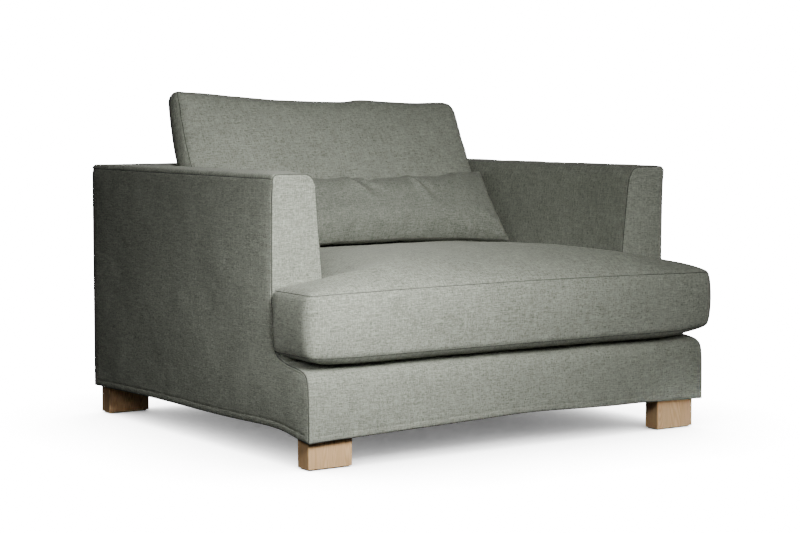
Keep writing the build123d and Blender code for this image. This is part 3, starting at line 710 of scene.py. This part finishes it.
tuck = 0.03
front_side = [(s, front_y(min(wrap_z(s), TOP))) for s in np.linspace(0, wrap.length, 40)]
slope_side = [(s, slope_y(wrap_z(s)) + tuck) for s in np.linspace(s_mitre + 0.004, wrap.length, 24)]
for name, side in (("left", -1), ("right", 1)):
    outline = [
        (front_side, "corner"),
        ([(wrap.length, front_side[-1][1]), slope_side[-1]], "free"),
        (slope_side[::-1] + [(s_mitre, slope_side[0][1])], "free"),
        ([(s_mitre, slope_side[0][1]), (s_mitre, REAR)], "flat"),
        ([(s_mitre, REAR), (0.0, REAR)], "plain"),
        ([(0.0, REAR), (0.0, front_side[0][1])], "flat"),
    ]

    def place_wrap(u, v, d, s=side):
        x, z = wrap.at(u, -d)
        return s * x, v, z

    panel(f"{name}_arm_wrap_panel", outline, place_wrap, puff=0.003, rough=0.0018, seed=11.0 + side,
          hides=(f"{name}_arm_wrap_cover", f"{name}_arm_foam"))

# inside of the back and its top
back_points = [(slope_y(z), z) for z in np.linspace(0.2, TOP - 0.04, 12)]
corner_y = slope_y(TOP)
r_back = 0.030
turn = r_back * math.tan(math.radians((90 - LEAN_DEGREES) / 2))
centre = (corner_y + turn, TOP - r_back)
back_points += arc(centre, r_back, 180 - LEAN_DEGREES, 90, 12)
back_points += [(REAR, TOP)]
back = Profile(back_points)


def back_x(s):
    """Half width of the back panel; it widens over the arms' inner edges at the top."""
    z = float(np.interp(s, back.s, back.p[:, 1]))
    if z > TOP - R_IN:
        k = max(0.0, R_IN ** 2 - (z - (TOP - R_IN)) ** 2) ** 0.5
        return X_IN + R_IN - k - 0.0008
    return arm_inside(z) - 0.0012


left_edge = [(-back_x(s), s) for s in np.linspace(0, back.length, 60)]
outline = [
    ([(left_edge[0][0], 0), (-left_edge[0][0], 0)], "free"),
    ([(-x, s) for x, s in left_edge], "flat"),
    ([(-left_edge[-1][0], back.length), (left_edge[-1][0], back.length)], "plain"),
    (left_edge[::-1], "flat"),
]
panel("back_inner_panel", outline, back.bend(), puff=0.003, rough=0.0016, seed=17.0,
      hides=("back_inner_cover", "back_foam"))

# outside of the back
R_BACK = 0.012
outline = [
    ([(-SIDE, 0.067), (SIDE, 0.067)], "hem"),
    ([(SIDE, 0.067), (SIDE, TOP - R_BACK)] + arc((SIDE - R_BACK, TOP - R_BACK), R_BACK, 0, 90, 6), "corner"),
    ([(SIDE - R_BACK, TOP), (-SIDE + R_BACK, TOP)], "plain"),
    (arc((-SIDE + R_BACK, TOP - R_BACK), R_BACK, 90, 180, 6) + [(-SIDE, 0.067)], "corner"),
]
panel("back_outer_panel", outline, lambda u, v, d: (u, REAR - d, v), puff=0.003, rough=0.0016, seed=21.0,
      hides=("back_outer_cover", "back_outer_board"))


# seam cords in the corners of the fitted cover, coloured dark as painted shade of the seams, and rows of topstitching
# beside them
def inset(run, distance):
    """An open run moved to its left."""
    p = resample(run, 0.008)
    return [tuple(q) for q in p + leftward(np.gradient(p, axis=0)) * distance]


DEEP = 0.0019    # depth of a cord's middle under the cloth on both sides of its corner
CORD = 0.0014    # radius of a corner's cord
BESIDE = 0.0075  # topstitching from its seam
HEM = 0.015      # stitching from the lower edge
PRESS = 0.0004   # depth of a stitch under the cloth
for name, side in (("left", -1), ("right", 1)):
    foot = 0.061 if side < 0 else 0.070
    line = inset([q for q in edge_run[::-1] if q[1] > foot] + [(FRONT, foot)], DEEP)
    seam_cord([(side * (SIDE - DEEP), y, z) for y, z in line], CORD, f"{name}_front_seam", "chair")
    line = [(REAR, 0.069), (REAR, SEAM_Z - R_REAR)] + REAR_ARC
    seam_cord([(side * (SIDE - DEEP), y, z) for y, z in inset(line, DEEP)], CORD, f"{name}_rear_seam", "chair")
    line = resample([(REAR - R_REAR, SEAM_Z), (edge_run[-1][0], SEAM_Z)], 0.02)
    seam_cord([(side * (SIDE - 0.0012), y, z) for y, z in line], 0.0009, f"{name}_top_seam", "chair")
    length = arm_front.length
    around = [(SIDE, length - 0.0135)] + arc((SIDE - R_OUT, length - R_OUT), R_OUT, 0, 90)[1:]
    around += arc((X_IN + R_IN, length - R_IN), R_IN, 90, 176)
    around += [(arm_inside(arm_front_z(v)), v) for v in np.linspace(length - 0.03, 0.004, 20)]
    line = []
    for u, v in inset(around, DEEP):
        y, z = arm_front.at(v, DEEP)
        line.append((side * u, y, z))
    seam_cord(line, CORD, f"{name}_arm_seam", "chair")
    rows = [[((side * (SIDE - PRESS), y, z), (side, 0, 0)) for y, z in inset(edge_run[::-1], BESIDE)]]
    rows.append([((side * (SIDE - PRESS), y, z + HEM), (side, 0, 0)) for y, z in hem_side])
    row = []
    for u, v in resample([q for q in front_side if q[0] > 0.004], 0.01):
        x, z = wrap.at(u, -PRESS)
        x1, z1 = wrap.at(u, -0.01)
        row.append(((side * x, v + BESIDE, z), (side * (x - x1), 0, z - z1)))
    rows.append(row)
    stitches(f"{name}_stitches", rows)
stitches("front_hem_stitches", [[(place_front(x, v + HEM, PRESS), (0, -1, 0)) for x, v in hem_front]])
stitches("rear_hem_stitches", [[((x, REAR - PRESS, 0.082), (0, 1, 0)) for x in np.linspace(-0.54, 0.54, 60)]])


# ---- loose cushions

class Boxed:
    """A sewn case: a top and a bottom panel with a boxing strip between them, as one closed mesh."""

    def __init__(self, outline, place, top, low, bulge, pitch=0.010, rows=9):
        pts = resample(list(outline) + [outline[0]], pitch)[:-1]
        n = len(pts)
        b = np.roll(pts, -1, axis=0)
        out = -leftward(b - np.roll(pts, 1, axis=0))
        kinds = np.zeros(n, int)
        lo, hi = pts.min(0), pts.max(0)
        gx, gy = np.meshgrid(np.arange(lo[0] + pitch / 2, hi[0], pitch), np.arange(lo[1] + pitch / 2, hi[1], pitch))
        grid = np.stack([gx.ravel(), gy.ravel()], 1)
        d, _, _ = nearest(grid, pts, b, kinds)
        grid = grid[within(grid, pts, b) & (d > pitch * 0.55)]
        flat = np.concatenate([pts, grid])
        verts, _, faces, _, _, _ = delaunay_2d_cdt([Vector(p) for p in flat], [(i, (i + 1) % n) for i in range(n)],
                                                   [], 1, 1e-7)
        v2 = np.array([tuple(v) for v in verts])
        d, _, _ = nearest(v2, pts, b, kinds)
        self.points, self.faces, self.uvs = [], [], []
        m = len(v2)
        for (p, q), s in zip(v2, d):
            self.points.append(place(p, q, top(p, q, s)))
        for (p, q), s in zip(v2, d):
            self.points.append(place(p, q, low(p, q, s)))
        for f in faces:
            self.faces.append(tuple(f))
            self.uvs += [tuple(v2[i]) for i in f]
            g = tuple(i + m for i in reversed(f))
            self.faces.append(g)
            self.uvs += [(v2[i - m][0] + 3, v2[i - m][1]) for i in g]
        around = np.concatenate([[0], np.cumsum(np.linalg.norm(b - pts, axis=1))])
        grid_index = [[i for i in range(n)]]
        for r in range(1, rows):
            t = r / rows
            row = []
            for i, (p, q) in enumerate(pts):
                h0, h1 = top(p, q, 0.0), low(p, q, 0.0)
                w = bulge(p, q, t)
                row.append(len(self.points))
                self.points.append(place(p + out[i][0] * w, q + out[i][1] * w, h0 + (h1 - h0) * t))
            grid_index.append(row)
        grid_index.append([i + m for i in range(n)])
        deep = abs(top(*pts[0], 0.0) - low(*pts[0], 0.0))
        for r in range(rows):
            for i in range(n):
                j = (i + 1) % n
                f = (grid_index[r][i], grid_index[r + 1][i], grid_index[r + 1][j], grid_index[r][j])
                self.faces.append(f)
                u0, u1 = around[i] + 6, around[i + 1] + 6
                self.uvs += [(u0, -r / rows * deep), (u0, -(r + 1) / rows * deep), (u1, -(r + 1) / rows * deep),
                             (u1, -r / rows * deep)]
        self.top_loop = list(range(n))
        self.low_loop = [i + m for i in range(n)]


def outward(obj):
    bm = bmesh.new()
    bm.from_mesh(obj.data)
    bmesh.ops.recalc_face_normals(bm, faces=bm.faces)
    bmesh.ops.join_triangles(bm, faces=[f for f in bm.faces if len(f.verts) == 3], angle_face_threshold=0.5,
                             angle_shape_threshold=0.6, cmp_uvs=True)
    if bm.calc_volume(signed=True) < 0:
        bmesh.ops.reverse_faces(bm, faces=bm.faces)
    bm.to_mesh(obj.data)
    bm.free()
    obj.data.polygons.foreach_set("use_smooth", [True] * len(obj.data.polygons))


def simulate(obj, frames, pressure, stiff, bending, mass, cap):
    """Inflates the case as cloth and keeps the result, each point within cap of where it began."""
    before = np.array([v.co[:] for v in obj.data.vertices])
    mod = obj.modifiers.new("sim", "CLOTH")
    settings = {
        "quality": 6, "mass": mass, "tension_stiffness": stiff, "compression_stiffness": stiff,
        "shear_stiffness": stiff * 0.5, "bending_stiffness": bending, "tension_damping": 12,
        "compression_damping": 12, "air_damping": 4, "use_pressure": True, "uniform_pressure_force": pressure,
    }
    for key, value in settings.items():
        setattr(mod.settings, key, value)
    mod.settings.effector_weights.gravity = 0
    mod.collision_settings.use_self_collision = False
    mod.collision_settings.use_collision = False
    mod.point_cache.frame_start = 1
    mod.point_cache.frame_end = frames
    scene = bpy.context.scene
    for f in range(1, frames + 1):
        scene.frame_set(f)
    dg = bpy.context.evaluated_depsgraph_get()
    after = np.array([v.co[:] for v in obj.evaluated_get(dg).data.vertices])
    obj.modifiers.remove(mod)
    scene.frame_set(1)
    move = after - before
    far = np.linalg.norm(move, axis=1)
    move *= (cap * np.tanh(far / cap) / np.maximum(far, 1e-9))[:, None]
    obj.data.vertices.foreach_set("co", (before + move).ravel())
    obj.data.update()


def subdivide(obj, levels):
    mod = obj.modifiers.new("finer", "SUBSURF")
    mod.levels = mod.render_levels = levels
    mod.uv_smooth = "PRESERVE_BOUNDARIES"
    dg = bpy.context.evaluated_depsgraph_get()
    me = bpy.data.meshes.new_from_object(obj.evaluated_get(dg), preserve_all_data_layers=True, depsgraph=dg)
    obj.modifiers.remove(mod)
    obj.data = me


def seam_path(obj, loop, steps=3):
    """Closed smooth run through the seam's points."""
    p = [Vector(obj.data.vertices[i].co) for i in loop]
    n = len(p)
    out = []
    for i in range(n):
        a, b, c, d = p[i - 1], p[i], p[(i + 1) % n], p[(i + 2) % n]
        out += [catmull(a, b, c, d, k / steps) for k in range(steps)]
    return out


def groove(obj, paths, depth=0.0022, width=0.004, stitch=None):
    """Presses seam lines into the surface, and with stitch, (distance, depth), a row of stitches beside each."""
    me = obj.data
    tree = tree_of([q for p in paths for q in p])
    normals = np.array([v.normal[:] for v in me.vertices])
    moved = []
    for v in me.vertices:
        _, _, d = tree.find(v.co)
        k = depth * math.exp(-(d / width) ** 1.5)
        if stitch:
            k += stitch[1] * math.exp(-((d - stitch[0]) / 0.002) ** 2)
        moved.append(Vector(v.co) - Vector(normals[v.index]) * k)
    me.vertices.foreach_set("co", np.array([tuple(m) for m in moved]).ravel())
    me.update()


def sink(path, obj, depth):
    """The seam run, moved under the surface by depth along the mesh's normals."""
    tree = tree_of([v.co for v in obj.data.vertices])
    out = []
    for q in path:
        near = tree.find_n(q, 3)
        n = sum((obj.data.vertices[i].normal for _, i, _ in near), Vector()).normalized()
        c = sum((Vector(x) for x, _, _ in near), Vector()) / 3
        out.append(Vector(q) - n * ((Vector(q) - c).dot(n) + depth))
    for _ in range(2):
        out = [(out[i - 1] + out[i] * 2 + out[(i + 1) % len(out)]) / 4 for i in range(len(out))]
    return out


# seat cushion
SEAT_LOW = seat_lo.z + 0.004
SEAT_EDGE = 0.370  # the height that the case's heights are given from
half_main = arm_inside(0.30) - 0.009
ear = 0.559
seat_front = FRONT - 0.034
ear_rear = ARM_FRONT - 0.010
rear_y = slope_y(0.30, -0.012)


def rounded(corners, radii, steps=7):
    """Closed outline with each corner rounded."""
    out = []
    n = len(corners)
    for i, (c, r) in enumerate(zip(corners, radii)):
        c = Vector(c)
        a = (Vector(corners[i - 1]) - c).normalized()
        b = (Vector(corners[(i + 1) % n]) - c).normalized()
        ang = a.angle(b)
        t = r / math.tan(ang / 2)
        m = (a + b).normalized() * (r / math.sin(ang / 2))
        p0, p1, o = c + a * t, c + b * t, c + m
        v0, v1 = p0 - o, p1 - o
        for k in range(steps):
            w = k / (steps - 1)
            out.append(tuple(o + (v0 * (1 - w) + v1 * w).normalized() * r))
    return out


seat_outline = rounded(
    [(-ear, seat_front), (ear, seat_front), (ear, ear_rear), (half_main, ear_rear), (half_main, rear_y),
     (-half_main, rear_y), (-half_main, ear_rear), (-ear, ear_rear)],
    [0.028, 0.028, 0.014, 0.010, 0.02, 0.02, 0.010, 0.014])


def seat_top(p, q, s):
    back_share = min(max((q - FRONT - 0.15) / 0.35, 0.0), 1.0)
    rise = 0.069 - 0.018 * back_share
    ear_share = min(max((abs(p) - 0.34) / 0.14, 0.0), 1.0)
    rise -= 0.030 * ear_share
    edge = 0.373 + 0.004 * math.cos(p * 3.0)
    uneven = wander(p, q, 0, 0.13, 0.0025, 4.0) * min(1, s / 0.03)
    return edge - SEAT_EDGE + rise * (1 - math.exp(-s / 0.100)) + uneven


def seat_low(p, q, s):
    lift = (0.012 if p > 0.40 else 0.004) * max(0.0, (abs(p) - 0.40) / 0.15) ** 2
    rounding = 0.012 * math.exp(-s / 0.02)
    return SEAT_LOW - SEAT_EDGE - 0.004 + lift * (1 if q < ARM_FRONT else 0) + rounding


def place_seat(p, q, h):
    z = SEAT_EDGE + h
    rear_share = min(max((q - ARM_FRONT) / (rear_y - ARM_FRONT), 0.0), 1.0)
    return p, q + (z - 0.30) * TAN * rear_share, z


def seat_bulge(p, q, t):
    if q > rear_y - 0.004:
        return 0.0015 * math.sin(math.pi * t)
    if abs(p) < half_main + 0.004 and q > ear_rear - 0.002:
        return 0.005 * math.sin(math.pi * t)
    if q > ear_rear - 0.004:
        return 0.004 * math.sin(math.pi * t)
    return (0.005 + wander(p, q, 0, 0.2, 0.003, 2.0)) * math.sin(math.pi * t) ** 0.8


seat = Boxed(seat_outline, place_seat, seat_top, seat_low, seat_bulge, 0.010, 12)
seat_obj = make_object("seat_cushion_case", seat.points, seat.faces, seat.uvs, LINEN)
outward(seat_obj)


# back cushion
def place_cush(p, a, h):
    """p across, a up the slope from arm height, h depth under the slope's surface."""
    return p, SLOPE_TOP + a * SIN + h * COS, TOP + a * COS - h * SIN


def along_at(z, depth):
    return (z - TOP + depth * SIN) / COS


foot_a = along_at(cush_lo.z + 0.004, -0.045)
top_edge = [(-0.413, 0.805), (-0.395, 0.8035), (-0.34, 0.8025), (-0.27, 0.7985), (-0.19, 0.7925), (-0.12, 0.7885),
            (0.0, 0.785), (0.07, 0.785), (0.12, 0.789), (0.19, 0.785), (0.27, 0.781), (0.35, 0.779), (0.39, 0.7765),
            (0.407, 0.768), (0.413, 0.752)]
top_edge = [(x, along_at(z - 0.004, -0.066)) for x, z in top_edge]
top_run = smooth_run(top_edge, 0.01)
right_side = [(0.413, a) for a in np.linspace(top_run[-1][1] - 0.02, foot_a + 0.02, 20)]
left_side = [(-0.4285 + 0.0135 * max(0.0, k - 0.62) / 0.38, a)
             for k, a in zip(np.linspace(0, 1, 20), np.linspace(foot_a + 0.02, top_run[0][1] - 0.01, 20))]
cush_outline = [(-0.418, foot_a + 0.004), (-0.40, foot_a), (0.39, foot_a), (0.405, foot_a + 0.004)]
cush_outline = (cush_outline + right_side[::-1] + [tuple(q) for q in top_run[::-1]] + left_side[::-1])


def cush_front(p, a, s):
    z_share = min(max((a - foot_a) / (0.17 - foot_a), 0.0), 1.0)
    seam = -0.078 + 0.004 * z_share
    crown = 0.020 + 0.006 * math.cos(p * 4.0)
    return seam - crown * (1 - math.exp(-s / 0.07)) + wander(p, a, 0, 0.12, 0.003, 9.0) * min(1, s / 0.03)


def cush_rear(p, a, s):
    lift = min(max((a - 0.04) / 0.14, 0.0), 1.0)
    return -0.0095 - 0.012 * lift ** 1.5


def cush_bulge(p, a, t):
    if a < foot_a + 0.01:
        return 0.001 * math.sin(math.pi * t)
    return 0.006 * math.sin(math.pi * t)


cush = Boxed(cush_outline, place_cush, cush_front, cush_rear, cush_bulge, 0.010, 7)
cush_obj = make_object("back_cushion_case", cush.points, cush.faces, cush.uvs, LINEN)
outward(cush_obj)

# lumbar pillow: two faces sewn edge to edge and blown up
PILLOW_LEAN = math.radians(37)
pil_mid = (pil_lo + pil_hi) / 2
NX, NZ = 74, 30
WIDE, HIGH = 0.362, 0.142


def pillow_grid(sign):
    out = []
    for j in range(NZ + 1):
        for i in range(NX + 1):
            u, v = 2 * i / NX - 1, 2 * j / NZ - 1
            edge = (1 - u ** 8) * (1 - v ** 4)
            thick = 0.052 * max(edge, 0) ** 0.75 * (1 - 0.25 * u * u)
            pull = 1 - 0.035 * (1 - u * u)
            pull_u = 1 - 0.02 * (1 - v * v)
            w = wander(u, v, 0, 0.5, 0.006, 3.0 * sign) * max(edge, 0)
            out.append((u * WIDE * pull_u, sign * (thick + w), v * HIGH * pull))
    return out


verts, faces, uvs = [], [], []
for sign in (-1, 1):
    first = len(verts)
    verts += pillow_grid(sign)
    for j in range(NZ):
        for i in range(NX):
            a = first + j * (NX + 1) + i
            f = (a, a + 1, a + NX + 2, a + NX + 1)
            faces.append(f if sign < 0 else f[::-1])
            for k in faces[-1]:
                k -= first
                uvs.append(((k % (NX + 1)) / NX * 2 * WIDE + 3 * (sign > 0), (k // (NX + 1)) / NZ * 2 * HIGH))
# The pillow's cloth is the chair's linen made darker (tone 0.74): painted shade, because the lamps light the pillow too
# brightly.
pillow_obj = make_object("lumbar_pillow_case", verts, faces, uvs, linen("pillow_linen_painted_shade", tone=0.74))
bm = bmesh.new()
bm.from_mesh(pillow_obj.data)
bmesh.ops.remove_doubles(bm, verts=bm.verts, dist=1e-5)
bmesh.ops.recalc_face_normals(bm, faces=bm.faces)
bm.to_mesh(pillow_obj.data)
bm.free()
outward(pillow_obj)
pillow_obj.data.polygons.foreach_set("use_smooth", [True] * len(pillow_obj.data.polygons))
rim = [v.index for v in pillow_obj.data.vertices if abs(v.co.y) < 1e-4]
rim.sort(key=lambda i: math.atan2(pillow_obj.data.vertices[i].co.z / HIGH, pillow_obj.data.vertices[i].co.x / WIDE))
simulate(pillow_obj, frames=26, pressure=5.0, stiff=14.0, bending=0.25, mass=0.2, cap=0.030)
simulate(seat_obj, frames=18, pressure=3.0, stiff=20.0, bending=1.0, mass=0.3, cap=0.008)
simulate(cush_obj, frames=18, pressure=2.5, stiff=20.0, bending=1.0, mass=0.3, cap=0.008)

# creases that run down from the pillow's top edge, then the pillow is leaned into its place
CREASES = [((-0.100, 0.085), (-0.026, -0.012), 0.0085, 0.0150), ((-0.062, 0.085), (-0.010, 0.025), 0.0055, 0.0110),
           ((0.085, 0.085), (0.146, -0.034), 0.0090, 0.0150), ((0.235, 0.100), (0.262, 0.05), 0.006, 0.010),
           ((0.335, 0.105), (0.20, 0.02), 0.005, 0.016), ((0.335, -0.10), (0.22, -0.03), 0.005, 0.016)]


def crease_depth(x, z):
    total = 0.0
    for (x0, z0), (x1, z1), deep, wide in CREASES:
        d = Vector((x1 - x0, z1 - z0))
        t = ((x - x0) * d.x + (z - z0) * d.y) / d.length_squared
        k = min(max(t, 0.0), 1.0)
        bow = 0.006 * math.sin(math.pi * k)
        side = ((x - x0) * d.y - (z - z0) * d.x) / d.length - bow
        end = max(0.0, -t, t - 1) * d.length
        w = wide * (0.7 + 0.7 * k)
        fall = 0.75 * math.exp(-((side + 0.7 * w) / (0.7 * w)) ** 2) - math.exp(-((side - 0.6 * w) / (0.7 * w)) ** 2)
        total += deep * (1 - k * k) * min(1.0, 0.45 + k * 3) * fall * math.exp(-(end / 0.010) ** 2)
    return total


me = pillow_obj.data
co = np.array([v.co[:] for v in me.vertices])
half_x = np.abs(co[:, 0]).max()
half_z = np.abs(co[:, 2]).max()
half_y = np.abs(co[:, 1]).max()
for v in me.vertices:
    x, y, z = v.co
    z -= 0.012 * math.cos(x / half_x * 1.45) * (0.5 + 0.5 * z / half_z)
    v.co = (x * 0.364 / half_x, y * 0.070 / half_y, z * 0.112 / half_z)
me.update()
subdivide(pillow_obj, 2)
for v in pillow_obj.data.vertices:
    if v.co.y < 0:
        v.co.y += crease_depth(v.co.x, v.co.z) * min(1.0, -v.co.y / 0.032)


def lean_pillow(p):
    x, y, z = p
    c, s = math.cos(PILLOW_LEAN), math.sin(PILLOW_LEAN)
    return Vector((x, pil_mid.y - 0.012 + y * c + z * s, pil_mid.z - 0.009 - y * s + z * c))


def rest(obj, floor_z=None, wall=None, soft=0.012):
    """Flattens the case where it rests on a level or against a leaning plane."""
    for v in obj.data.vertices:
        c = v.co
        if floor_z is not None:
            level = floor_z(c) if callable(floor_z) else floor_z
            g = c.z - level
            if g < soft:
                c.z = level + soft * math.exp(g / soft - 1)
        if wall is not None:
            g = wall(c)
            if g < soft:
                push = soft * math.exp(g / soft - 1) - g
                c.y -= push * COS
                c.z += push * SIN
        v.co = c
    obj.data.update()


for v in pillow_obj.data.vertices:
    v.co = lean_pillow(v.co)
subdivide(seat_obj, 1)
subdivide(cush_obj, 1)

AWAY = (9, 9, 9)
seat_tree = tree_of([(v.co.x, v.co.y, 0) if v.normal.z > 0.2 else AWAY for v in seat_obj.data.vertices])


def seat_height(x, y):
    near = seat_tree.find_n((x, y, 0), 4)
    return sum(seat_obj.data.vertices[i].co.z for _, i, _ in near) / len(near)


# the back cushion stands on the seat and the pillow rests on both
rest(cush_obj, lambda c: seat_height(min(max(c.x, -0.39), 0.39), min(c.y, 0.20)) + 0.001, None, 0.006)
rest(cush_obj, None, lambda c: (slope_y(c.z, -0.0095) - c.y) * COS, 0.0015)
rest(seat_obj, seat_lo.z + 0.0003, None, 0.003)
rest(seat_obj, None, lambda c: (slope_y(c.z, -0.0095) - c.y) * COS, 0.0015)


def up_slope(c):
    """Distance of a point up the back's slope from arm height."""
    return (c.z - TOP) * COS + (c.y - SLOPE_TOP) * SIN


def into_slope(c):
    """Depth of a point under the back's slope, square to it."""
    return (c.y - SLOPE_TOP) * COS - (c.z - TOP) * SIN


cush_tree = tree_of([(v.co.x, up_slope(v.co), 0) if v.normal.y < -0.3 else AWAY for v in cush_obj.data.vertices])


def to_cushion(c):
    """Gap from a point to the front of the back cushion, square to it."""
    near = cush_tree.find_n((c.x, up_slope(c), 0), 3)
    return sum(into_slope(cush_obj.data.vertices[i].co) / 3 for _, i, _ in near) - into_slope(c)


rest(pillow_obj, None, lambda c: to_cushion(c) - 0.0008, 0.012)
rest(pillow_obj, lambda c: seat_height(c.x, c.y) + 0.0008, None, 0.012)

for obj, made, body in ((seat_obj, seat, "seat_cushion"), (cush_obj, cush, "back_cushion")):
    paths = [seam_path(obj, loop) for loop in (made.top_loop, made.low_loop)]
    groove(obj, paths, 0.0022, 0.0042, (0.0095, 0.0007))
    for k, p in zip(("top", "low"), paths):
        seam_cord(sink(p, obj, -0.0001), 0.0008, f"{body}_seam_{k}", body, True)
    for part in ("cover", "filling"):
        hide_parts(f"{body}_{part}")
    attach(obj, body)
rim_path = [Vector(pillow_obj.data.vertices[i].co) for i in rim]
groove(pillow_obj, [rim_path], 0.0004, 0.004, (0.010, 0.0006))
seam_cord(sink(seam_path(pillow_obj, rim, 2), pillow_obj, -0.0003), 0.0009, "lumbar_pillow_seam", "lumbar_pillow", True)
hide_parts("lumbar_pillow_cover", "lumbar_pillow_filling")
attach(pillow_obj, "lumbar_pillow")

# ---- light, floor and camera
scene = bpy.context.scene


def area_light(name, at, target, size, energy, spread):
    data = bpy.data.lights.new(name, "AREA")
    data.shape = "RECTANGLE"
    data.size, data.size_y = size
    data.energy = energy
    data.spread = math.radians(spread)
    obj = bpy.data.objects.new(name, data)
    obj.location = at
    obj.rotation_euler = (Vector(target) - Vector(at)).to_track_quat("-Z", "Y").to_euler()
    scene.collection.objects.link(obj)


# name, place, aim, size, watts, spread in degrees
for light in (
    ("key", (-0.72, -1.72, 1.00), (-0.50, -0.45, 0.44), (0.4, 0.4), 6.1, 70),
    ("front", (0.42, -2.30, 1.12), (0.16, -0.2, 0.44), (0.7, 0.7), 3.6, 90),
    ("side", (-1.45, -1.45, 0.75), (-0.60, -0.50, 0.42), (0.35, 0.35), 0.9, 56),
    ("fill", (-0.60, -3.00, 2.30), (0.0, 0.0, 1.40), (1.2, 1.2), 5.0, 150),
    ("low", (0.72, -1.60, 0.20), (0.4825, -0.50, 0.0), (0.12, 0.12), 0.055, 16),
    ("rear", (1.50, 2.40, 0.62), (0.10, 0.35, 0.36), (0.8, 0.8), 6.0, 90),
):
    area_light(*light)

WORLD_LIGHT = 0.022
WHITE = 18.0  # strong enough to show as plain white
world = bpy.data.worlds.new("studio")
scene.world = world
world.use_nodes = True
wn, wl = world.node_tree.nodes, world.node_tree.links
wn.clear()
w_mix = wn.new("ShaderNodeMixShader")
wl.new(wn.new("ShaderNodeLightPath").outputs["Is Camera Ray"], w_mix.inputs[0])
for socket, strength in ((1, WORLD_LIGHT), (2, WHITE)):
    background = wn.new("ShaderNodeBackground")
    background.inputs[0].default_value = (1, 1, 1, 1)
    background.inputs[1].default_value = strength
    wl.new(background.outputs[0], w_mix.inputs[socket])
wl.new(w_mix.outputs[0], wn.new("ShaderNodeOutputWorld").inputs[0])

bpy.ops.mesh.primitive_plane_add(size=40, location=(0, 0, -0.0005))
floor = bpy.context.object
floor.name = "studio_floor"
t = Tree("studio_floor")
t.finish((0.86, 0.86, 0.86, 1), 0.9)
t.shader.inputs["Emission Color"].default_value = (1, 1, 1, 1)
# The floor glows white, and ambient occlusion dims the glow near the chair: a painted contact shadow, on top of the
# lamps' real shadows on its diffuse part.
shade = t.node("ShaderNodeAmbientOcclusion", 1, {"samples": 12}, Distance=0.45)
t.set(t.shader.inputs["Emission Strength"], t.math("MULTIPLY", t.math("POWER", shade, 1.5), WHITE))
dress(floor, t.mat)
floor.visible_diffuse = False
floor.visible_glossy = False

cam_data = bpy.data.cameras.new("photo_camera")
cam_data.lens = 89.66
cam_data.sensor_width = 36
cam_data.clip_end = 60
cam = bpy.data.objects.new("photo_camera", cam_data)
cam.location = (-2.68249, -4.01183, 0.76044)
cam.rotation_euler = (math.radians(85.4437), 0, math.radians(-33.9228))
scene.collection.objects.link(cam)
scene.camera = cam
